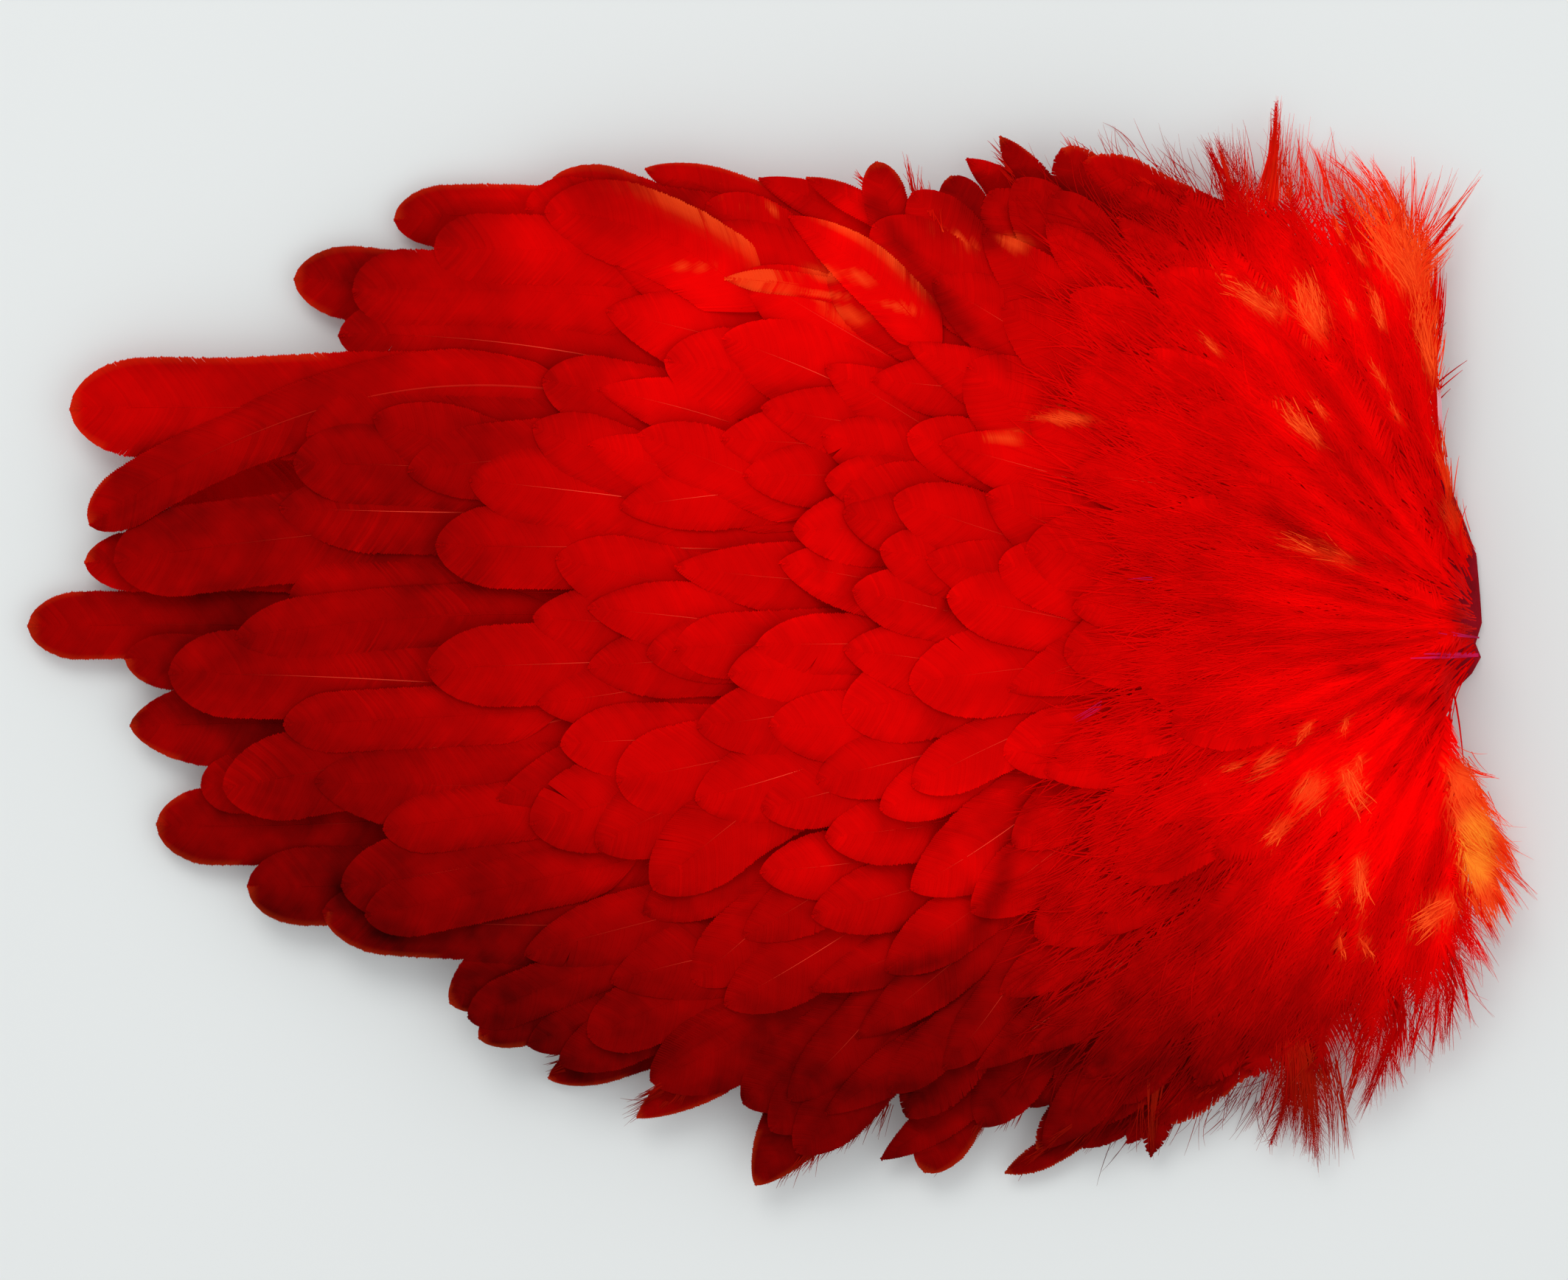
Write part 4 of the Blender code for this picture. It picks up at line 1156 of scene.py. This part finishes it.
# Small feathers that fill out the edges between the large ones: tip x, tip y, heading, length,
# width, turn, how pointed, how loose, and rank in the laying order
EDGE_TIPS = (
    (-99.5, 13.4, 186, 44, 8, 10, 0.1, 0, -193), (-95.8, -17.6, 184, 36, 7, 0, 0.1, 0, -150),
    (-86, 2.6, 181, 40, 9, 2, 0.1, 0, -178), (-103, 4, 181, 44, 7, 2, 0.1, 0, -192),
    (-84, 21, 181, 40, 10, 8, 0.1, 0, -175), (-79, 37, 182, 40, 9, 10, 0.1, 0, -194),
    (-70, 41.6, 180, 40, 8, 8, 0.1, 0, -194), (-60, 46, 176, 38, 8, 8, 0.1, 0, -197.5),
    (-34.3, 49.2, 160, 34, 4.4, 10, 1, 0, -160), (-11.4, 51.5, 145, 30, 4.6, 20, 0.9, 0, -150),
    (-6, 49, 126, 30, 8, 8, 0.4, 0, -120), (-2, 47.5, 122, 30, 8, 8, 0.4, 0, -110),
    (-40, 46.5, 150, 36, 8, 8, 0.4, 0, -120), (-17.5, 47.5, 130, 34, 8, 8, 0.4, 0, -105),
    (8.2, 48.6, 124, 30, 8, 10, 0.6, 0.3, -130), (12.5, 47.6, 118, 28, 8, 8, 0.6, 0.5, -120),
    (-59.6, -46, 201, 36, 5.8, 4, 0.6, 0, -140), (-53, -45, 204, 34, 8, 6, 0.3, 0, -110),
    (-46.2, -50, 206, 38, 9.6, 6, 0.5, 0, -108), (-36, -52.5, 216, 34, 9, 8, 0.4, 0, -106),
    (-30.2, -57.8, 226, 38, 7.6, -4, 0.5, 0, -104), (-20.8, -58.8, 214, 24, 5, -10, 1, 0, -130),
    (-18, -54, 236, 32, 8.6, 4, 0.5, 0.1, -100), (-10, -55, 238, 30, 8, 0, 0.5, 0, -102),
    (-1, -53.6, 238, 30, 8, 0, 0.5, 0, -100), (2.2, -55, 232, 32, 8, -6, 0.7, 0.1, -99),
    (1.4, -57.5, 218, 26, 4.6, -20, 0.8, 0.1, -140), (6.4, -57, 236, 26, 5, -20, 0.8, 0.1, -140),
    (9, -58.4, 262, 26, 4.4, -6, 0.8, 0.2, -140), (14, -50.6, 240, 28, 7, -10, 0.6, 0.2, -96),
    (20, -49.4, 246, 26, 7, -10, 0.6, 0.4, -94), (27, -49, 258, 24, 8, 0, 0.6, 0.9, -92),
    (33, -46, 264, 24, 8, 0, 0.6, 0.9, -90), (38, -42, 268, 24, 8, 0, 0.6, 0.9, -88),
    (24, 49, 100, 28, 8, 10, 0.6, 0.9, -110), (30, 47, 104, 26, 8, 10, 0.6, 0.9, -105),
    (34.2, 45, 104, 26, 6.4, 10, 0.6, 0.9, -100), (18, 49, 106, 30, 8, 10, 0.6, 0.8, -112),
    (-9, 47.6, 128, 30, 8, 8, 0.3, 0.1, -125), (6.3, 48.2, 118, 30, 9, 8, 0.4, 0.2, -125),
    (-96.6, 15.6, 188, 44, 9, 8, 0.1, 0, -194), (40.6, -20, 282, 16, 6, 0, 0.5, 0.9, -45),
    (41.4, -28, 280, 20, 6, 0, 0.5, 0.9, -50), (-37.6, -5.3, 187, 24, 8.4, 0, 0.6, 0, -87),
    (-56.2, -47.9, 203, 30, 7, 0, 0.6, 0, -138), (-33, -55.4, 222, 28, 8, 0, 0.5, 0, -105),
    (5, -52.5, 240, 30, 8, 0, 0.5, 0.1, -98), (-66.2, -43, 202, 30, 6, 0, 0.4, 0, -139),
    (-2.9, -57.5, 231, 26, 6.6, 0, 0.8, 0, -97), (12, -53.4, 236, 26, 5, -16, 0.8, 0, -138),
    (-4.4, -53, 236, 28, 7, 0, 0.6, 0, -103), (-86.5, -10.8, 183, 34, 7, 0, 0.4, 0, -130),
    (-77.5, -31.8, 192, 34, 7, 0, 0.4, 0, -127), (-75.5, -22.3, 188, 32, 7, 0, 0.4, 0, -123.5),
)

# Brightness of some of them, as multiples, mostly painted light that lifts the shade in which they lie
EDGE_TONES = {
    (-99.5, 13.4): 2.3, (-96.6, 15.6): 2.3, (-103, 4): 1.4, (-11.4, 51.5): 1.6,
    (-20.8, -58.8): 1.5, (-53, -45): 1.25, (-77.5, -31.8): 1.1, (-75.5, -22.3): 1.15,
}

# Least height of those that have no feather below them
EDGE_RESTS = {(-11.4, 51.5): 4.5, (-20.8, -58.8): 3}

# Feathers whose thin margin lets orange light through: tip, heading, length, width, turn and how
# pointed; the margin's side (0 is all over), strength, and where it starts and ends
MARGINS = (
    (((-57.8, 45.6), 178, 30, 9.6, 50, 0.5),
     dict(rank=-96, margin_side=-1, margin=0.62, margin_start=0.14, margin_end=0.85)),
    (((-31, 45), 151, 25, 6.4, 30, 1),
     dict(rank=-74, margin_side=-1, margin=0.66, margin_start=0.25, margin_end=1.1)),
    (((-38, 38.1), 178, 20, 2.8, 14, 1),
     dict(rank=-89, margin_side=0, margin=0.52, margin_start=0.55, margin_end=1.3)),
)

# Shaft of the small feathers at the edges, hardly seen
UNDER_LOOKS = dict(shaft=0.5, shaft_show=0)

# Large feathers of the edge are laid as if their tips were this much further out
EDGE_RANK_SHIFT = 60


def tip_distance(feather):
    return math.dist(feather.centre[-1], HEAD_POINT)


# Looks of the large feathers by a word in their names
KIND_LOOKS = {
    "down": dict(loose=0.8, fringe=0.2, arch=0.05, spacing=0.14, vane_start=0.3, shaft=0.4,
                 shaft_show=0),
    "flank": dict(glow=0.15),
    "saddle": dict(glow=0.15, shaft_show=0.12, barb_places=7),
}


def solid_feathers():
    """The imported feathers, each to be shown as a barbed feather in its place."""
    found = []
    for node in sorted(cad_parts):
        if node == "skin":
            continue
        feather = solid_feather(node)
        x, y = feather.centre[-1]
        edge = not node.startswith("cover")
        feather.rank = -tip_distance(feather) - (EDGE_RANK_SHIFT if edge else 0)
        feather.rank = GROUND_RANKS.get(node, feather.rank)
        feather.tone = float(rng.uniform(0.95, 1.05)) * SOLID_CHANGES.get(node, AS_ITS_SOLID)[2]
        feather.loose = 0.4 * looseness(x, y)
        feather.fringe = 0.008 + 0.06 * looseness(x, y)
        if "flank" in node:
            feather.loose = 0.12 * looseness(x + 20, y)
        for kind, changes in KIND_LOOKS.items():
            if kind in node:
                vars(feather).update(changes)
        if node in SPIKES:
            feather.loose = 0.35 if node.startswith("upper") else 0.6
            feather.fringe = 0.05
        found.append(feather)
    return found


# Tips of small covering feathers, with their widths
SMALL_TIPS = (
    (-91.8, -1.3, 6), (-83, -17, 9), (-76.5, 23, 8.5), (-72.8, 17, 8), (-87, 13, 8.5), (-66, 16, 8.5),
    (-58, 27, 8), (-59, 22, 8), (-52, 26, 8), (-53, 20, 7), (-47.5, 21, 7.5), (-36, 16.5, 7.5),
    (-49.5, 13, 8), (-56.5, 7.5, 8.5), (-43.5, 6.5, 8.5), (-32, 7, 8.5), (-25, 12.5, 7.5), (-19.5, 14, 8),
    (-21, 8.5, 7.5), (-16, 7.5, 8), (-13.7, 3.3, 8.5), (-24, 4, 7.5), (-27, 28.5, 8), (-22, 27, 8),
    (-18, 31, 8), (-27.5, 21, 7.5), (-27, 16, 7), (-34, 24, 8), (-18, 21, 7.5), (-14.5, 20, 7.5),
    (-59, 1, 8), (-53, 2, 8), (-58.5, -8.5, 8.5), (-46.5, -3, 8), (-43.5, -2.5, 7.5), (-34.5, -2, 7),
    (-25, -2.5, 9), (-53, -4.5, 8.5), (-41, -11, 9), (-56, -13, 8.5), (-63, -19, 8.5), (-34, -20, 7.5),
    (-28, -17, 7.5), (-27, -23, 8), (-17.5, -17.5, 7), (-21, -20, 7), (-47, -31.5, 8), (-60, -36, 8),
    (-36, -34, 8), (-38, -41.5, 9), (-41.5, -39, 8), (-31, -52, 9), (-27, -53.5, 8), (-20, -51, 8),
    (-14, -48.5, 8), (-10.5, -48.5, 7.5), (-5, -47, 8), (-4.5, 23, 8), (5.5, 23, 8), (-8, 7, 8),
    (0, 2, 8), (-7, -7, 8.5), (-7.5, -14, 8.5), (-3, -16, 8), (5, -27, 8), (-6.5, -24, 8),
    (-38.5, 20.5, 9), (-30.5, 10.6, 9),
)

# Region that further small tips fill, the corners of the field round it, the number tried, their
# least distance apart, how much more it is at the back, and their least and greatest width
FILL_REGION = (
    (-98, 24), (-75, 36), (-50, 44), (-25, 46), (0, 47), (18, 47), (32, 43), (38, 34), (39, 12),
    (39, -10), (39, -25), (35, -38), (18, -48), (-8, -51), (-35, -49), (-60, -38), (-82, -26), (-94, -15),
    (-102, 0), (-100, 15),
)
FILL_LOW = (-104, -54)
FILL_HIGH = (42, 48)
FILL_TRIES = 5000
FILL_APART = 6.8
FILL_WIDER = 6
FILL_WIDTHS = (7.6, 10.6)

# Small covering feathers: length, how much longer they are at the back and where they are loose,
# how far their roots stay from the head point, and the least length
SMALL_LENGTHS = (23, 28)
LONGER_AT_BACK = 14
LONGER_LOOSE = 4
ROOT_STANDOFF = (3, 9)
SHORTEST_FEATHER = 7


def inside(x, y, outline):
    """Whether a point lies inside an outline."""
    crossings = False
    for (x1, y1), (x2, y2) in zip(outline, outline[1:] + outline[:1]):
        if (y1 > y) != (y2 > y) and x < x1 + (y - y1) * (x2 - x1) / (y2 - y1):
            crossings = not crossings
    return crossings


def edge_feathers():
    """Small feathers under the large ones whose tips fill out the edges."""
    made = []
    for number, entry in enumerate(EDGE_TIPS):
        x, y, heading, length, width, turn, pointed, loose, rank = entry
        loose = 0.6 * loose
        made.append(small_feather(
            f"edge_{number:02d}", (x, y), heading, length, width, turn, pointed, rank=rank,
            loose=loose, fringe=0.01 + 0.1 * loose, spacing=BARB_SPACING - 0.14 * loose,
            tone=EDGE_TONES.get((x, y), 1.1), rest=EDGE_RESTS.get((x, y)), **UNDER_LOOKS))
    return made


def margin_feathers():
    """Feathers of the upper flank with a glowing thin margin."""
    return [small_feather(f"margin_{number}", *plan, tone=1.12, **UNDER_LOOKS, **margin)
            for number, (plan, margin) in enumerate(MARGINS)]


def rooted_inside(x, y, heading, length, width):
    """Whether both sides of a feather's root lie inside the front outline."""
    angle = math.radians(heading)
    root_x = x - length * math.cos(angle)
    root_y = y - length * math.sin(angle)
    reach = 0.4 * width
    return all(inside(root_x - hand * reach * math.sin(angle),
                      root_y + hand * reach * math.cos(angle), FLUFF_REGION)
               for hand in (-1, 1))


def small_feathers(large):
    """The small covering feathers: the read tips first, then a loose even filling."""
    tips = [tuple(feather.centre[-1]) for feather in large]
    chosen = list(SMALL_TIPS)
    tips += [(x, y) for x, y, _ in chosen]
    for _ in range(FILL_TRIES):
        x = rng.uniform(FILL_LOW[0], FILL_HIGH[0])
        y = rng.uniform(FILL_LOW[1], FILL_HIGH[1])
        apart = FILL_APART + FILL_WIDER * ramp(-x, 46, 26)
        if not inside(x, y, FILL_REGION):
            continue
        if min(math.dist((x, y), tip) for tip in tips) < apart:
            continue
        tips.append((x, y))
        chosen.append((x, y, rng.uniform(*FILL_WIDTHS)))
    made = []
    for number, (x, y, width) in enumerate(chosen):
        heading = math.degrees(math.atan2(y, x - FEATHER_SOURCE)) % 360
        loose = looseness(x, y)
        far = ramp(-x, 50, 40)
        reach = math.dist((x, y), HEAD_POINT)
        length = rng.uniform(*SMALL_LENGTHS) + LONGER_AT_BACK * far + LONGER_LOOSE * loose
        length = min(length, reach - rng.uniform(*ROOT_STANDOFF))
        # Narrow pointed tips along the lower flank, and along the upper flank further forward
        shaggy = ramp(-y, 30, 12) * ramp(x, -42, 14)
        shaggy = max(shaggy, ramp(y, 34, 10) * ramp(x, -16, 10))
        width = width * (1 - 0.3 * shaggy)
        heading = heading + rng.normal(0, 8 + 3 * loose) * (1 - 0.5 * loose)
        while (x > 0 and length > SHORTEST_FEATHER
               and not rooted_inside(x, y, heading, length, width)):
            length = 0.9 * length
        length = max(length, SHORTEST_FEATHER)
        made.append(small_feather(
            f"small_{number:03d}", (x, y), heading, length, width + 1.2 * far - 2 * loose,
            turn=rng.normal(0, 8),
            pointed=float(np.clip(rng.normal(0.62, 0.18) + 0.3 * max(loose, shaggy), 0, 1)),
            loose=0.5 * loose, fringe=0.01 + 0.1 * loose, barb_places=5,
            spacing=BARB_SPACING - 0.1 * loose,
            tone=float(np.clip(rng.normal(1, 0.055), 0.85, 1.15)),
            arch=0.08 - 0.04 * loose, shaft=0.5,
            shaft_show=(1 - loose) * float(rng.uniform(0, 1) ** 1.5),
            lift=1 - 0.5 * loose, vane_start=0.05 + 0.2 * loose))
        made[-1].rank = -tip_distance(made[-1])
    return made


# Dyes: deep and bright colour of the vane, orange and yellow of thin down, and the shaft
RED_DYE = ((0.015, 0, 0), (1, 0, 0), (1, 0.085, 0.012), (1, 0.27, 0.02),
           (1, 0.07, 0.035))
MAGENTA_DYE = ((0.03, 0, 0.01),) + 4 * ((0.8, 0.01, 0.1),)
PALE_QUILL = ((0.55, 0.2, 0.24),) + 4 * ((0.9, 0.5, 0.55),)
HIDE_COLOURS = ((0.14, 0, 0.002), (0.5, 0, 0.016))

# Uneven dye over the vanes: scale to the metre, detail, and change of the tone either way
BROAD_MOTTLE = (90, 3, 0.18)
FINE_MOTTLE = (330, 2, 0.08)


def set_inputs(node, **values):
    """Set sockets by name, with an underscore for each space."""
    for name, value in values.items():
        node.inputs[name.replace("_", " ")].default_value = value


def new_material(name):
    """A material with its node tree and its shader."""
    material = bpy.data.materials.new(name)
    material.use_nodes = True
    return material, material.node_tree, material.node_tree.nodes["Principled BSDF"]


def noise(tree, scale, detail, roughness=0.5):
    """Noise over the object, from 0 to 1."""
    position = tree.nodes.new("ShaderNodeTexCoord")
    texture = tree.nodes.new("ShaderNodeTexNoise")
    set_inputs(texture, Scale=scale, Detail=detail, Roughness=roughness)
    tree.links.new(position.outputs["Object"], texture.inputs["Vector"])
    return texture.outputs["Fac"]


def mottled(tree, share, scale, detail, change):
    """A share made uneven by noise."""
    spread = tree.nodes.new("ShaderNodeMapRange")
    set_inputs(spread, To_Min=-change, To_Max=change)
    tree.links.new(noise(tree, scale, detail), spread.inputs["Value"])
    total = tree.nodes.new("ShaderNodeMath")
    total.operation = "ADD"
    tree.links.new(share, total.inputs[0])
    tree.links.new(spread.outputs["Result"], total.inputs[1])
    return total.outputs[0]


def mixed(tree, share, first, second):
    """A mix of two colours, each a socket or plain, by the share of the second."""
    mix = tree.nodes.new("ShaderNodeMix")
    mix.data_type = "RGBA"
    tree.links.new(share, mix.inputs[0])
    for socket, colour in ((mix.inputs[6], first), (mix.inputs[7], second)):
        if isinstance(colour, tuple):
            socket.default_value = (*colour, 1)
        else:
            tree.links.new(colour, socket)
    return mix.outputs[2]


def feather_material(name, colours, roughness=0.7):
    """Dyed barbs: deep to bright red by tone, which carries the painted light and shade, with orange
    down, pinkish shafts and a faint painted glow.
    """
    deep, bright, orange, yellow, shaft = colours
    material, tree, shader = new_material(name)
    tone = tree.nodes.new("ShaderNodeAttribute")
    tone.attribute_name = "tone"
    parts = tree.nodes.new("ShaderNodeSeparateColor")
    tree.links.new(tone.outputs["Color"], parts.inputs[0])
    share = mottled(tree, parts.outputs["Red"], *BROAD_MOTTLE)
    share = mottled(tree, share, *FINE_MOTTLE)
    share.node.use_clamp = True
    red = mixed(tree, share, deep, bright)
    thin = mixed(tree, tone.outputs["Alpha"], orange, yellow)
    down = mixed(tree, parts.outputs["Green"], red, thin)
    final = mixed(tree, parts.outputs["Blue"], down, shaft)
    tree.links.new(final, shader.inputs["Base Color"])
    # Painted glow: the colour is given off a little, for light passed through thin barbs
    tree.links.new(final, shader.inputs["Emission Color"])
    set_inputs(shader, Emission_Strength=LIGHT_THROUGH, Roughness=roughness,
               Specular_IOR_Level=0.015, Sheen_Weight=0)
    return material


def hide_material():
    """Dyed dried skin: crimson, with fine creases and darker hollows."""
    material, tree, shader = new_material("dyed_hide")
    grain = noise(tree, 420, 6, 0.65)
    tree.links.new(mixed(tree, grain, *HIDE_COLOURS), shader.inputs["Base Color"])
    bump = tree.nodes.new("ShaderNodeBump")
    set_inputs(bump, Strength=0.5, Distance=0.0004)
    tree.links.new(grain, bump.inputs["Height"])
    tree.links.new(bump.outputs["Normal"], shader.inputs["Normal"])
    set_inputs(shader, Roughness=0.5, Specular_IOR_Level=0.08)
    return material


def show(mesh, material, slot, *nodes):
    """Link a mesh as a piece that rides on the patch and stands for its nodes."""
    piece = bpy.data.objects.new(mesh.name, mesh)
    bpy.context.scene.collection.objects.link(piece)
    piece.data.materials.append(material)
    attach(piece, "root")
    if nodes:
        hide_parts(*nodes)
    return piece


# Floor, surroundings and lights: where the lights point, then name, place, size, power and
# colour of each, in metres
FLOOR_SIZE = 4
FLOOR_LEVEL = -0.00015
FLOOR_COLOUR = (0.83, 0.85, 0.845, 1)
STUDIO_COLOUR = (0.97, 0.99, 1, 1)
STUDIO_STRENGTH = 0.77
LIGHT_AIM = (-0.03, 0, 0)
LIGHTS = (
    ("key", (-0.25, 0.5, 0.75), 0.5, 1.7, (1, 0.99, 0.97)),
    ("fill", (0.5, -0.2, 0.8), 0.7, 0.55, (1, 1, 1)),
)


def add_camera():
    camera = bpy.data.objects.new("camera", bpy.data.cameras.new("camera"))
    bpy.context.scene.collection.objects.link(camera)
    camera.location = (VIEW_CENTRE[0] * MM, VIEW_CENTRE[1] * MM, CAMERA_HEIGHT * MM)
    camera.data.sensor_width = SENSOR_WIDTH
    camera.data.lens = SENSOR_WIDTH * CAMERA_HEIGHT / VIEW_WIDTH
    camera.data.clip_start = 0.01
    camera.data.clip_end = 10
    bpy.context.scene.camera = camera


def add_light(name, place, size, power, colour):
    light = bpy.data.lights.new(name, "AREA")
    light.shape = "DISK"
    light.size = size
    light.energy = power
    light.color = colour
    lamp = bpy.data.objects.new(name, light)
    lamp.location = place
    aim = Vector(LIGHT_AIM) - Vector(place)
    lamp.rotation_euler = aim.to_track_quat("-Z", "Y").to_euler()
    bpy.context.scene.collection.objects.link(lamp)


def add_stage():
    """Plain pale floor and soft studio light from the upper left."""
    bpy.ops.mesh.primitive_plane_add(size=FLOOR_SIZE, location=(0, 0, FLOOR_LEVEL))
    floor = bpy.context.object
    floor.name = "floor"
    material, _, shader = new_material("pale_floor")
    set_inputs(shader, Base_Color=FLOOR_COLOUR, Roughness=0.8)
    floor.data.materials.append(material)
    world = bpy.data.worlds.new("studio")
    world.use_nodes = True
    set_inputs(world.node_tree.nodes["Background"], Color=STUDIO_COLOUR, Strength=STUDIO_STRENGTH)
    bpy.context.scene.world = world
    for light in LIGHTS:
        add_light(*light)
    bpy.context.scene.view_settings.view_transform = "Standard"


# Small feathers joined in one piece
SMALL_PIECE_FEATHERS = 40


def barbed(name, feathers, field):
    """One mesh of the barbs and shafts of some feathers."""
    ribbons = Ribbons()
    for feather in feathers:
        barb_ribbons(feather, ribbons, field)
        shaft_ribbon(feather, ribbons, field)
    return ribbons.mesh(name)


def build():
    add_camera()
    add_stage()
    vane = feather_material("dyed_vane", RED_DYE)
    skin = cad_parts["skin"]
    skin.data.materials.clear()
    skin.data.materials.append(hide_material())
    field = HeightField(node_tree(*node_triangles("skin")))
    large = solid_feathers()
    small = small_feathers(large) + edge_feathers() + margin_feathers()
    for feather in sorted(large + small, key=lambda one: one.rank):
        lay(field, feather)
    field.soften()
    for feather in large:
        slot = "down" if "down" in feather.name else "feather"
        show(barbed(feather.name + "_barbs", [feather], field), vane, slot, feather.name)
    small.sort(key=lambda one: one.rank)
    for first in range(0, len(small), SMALL_PIECE_FEATHERS):
        name = f"small_cover_feathers_{first // SMALL_PIECE_FEATHERS + 1:02d}"
        show(barbed(name, small[first:first + SMALL_PIECE_FEATHERS], field), vane, "feather")
    magenta = feather_material("magenta_dye", MAGENTA_DYE)
    pale = feather_material("pale_quill", PALE_QUILL, roughness=0.5)
    for make, material, slot in ((front_fluff, vane, "down"), (orange_flames, vane, "down"),
                                 (edge_fringes, vane, "feather"), (edge_wisps, vane, "down"),
                                 (magenta_streaks, magenta, "down"),
                                 (bare_quill, pale, "feather"), (under_down, vane, "down")):
        ribbons = Ribbons()
        make(ribbons, field)
        show(ribbons.mesh(make.__name__), material, slot)


build()
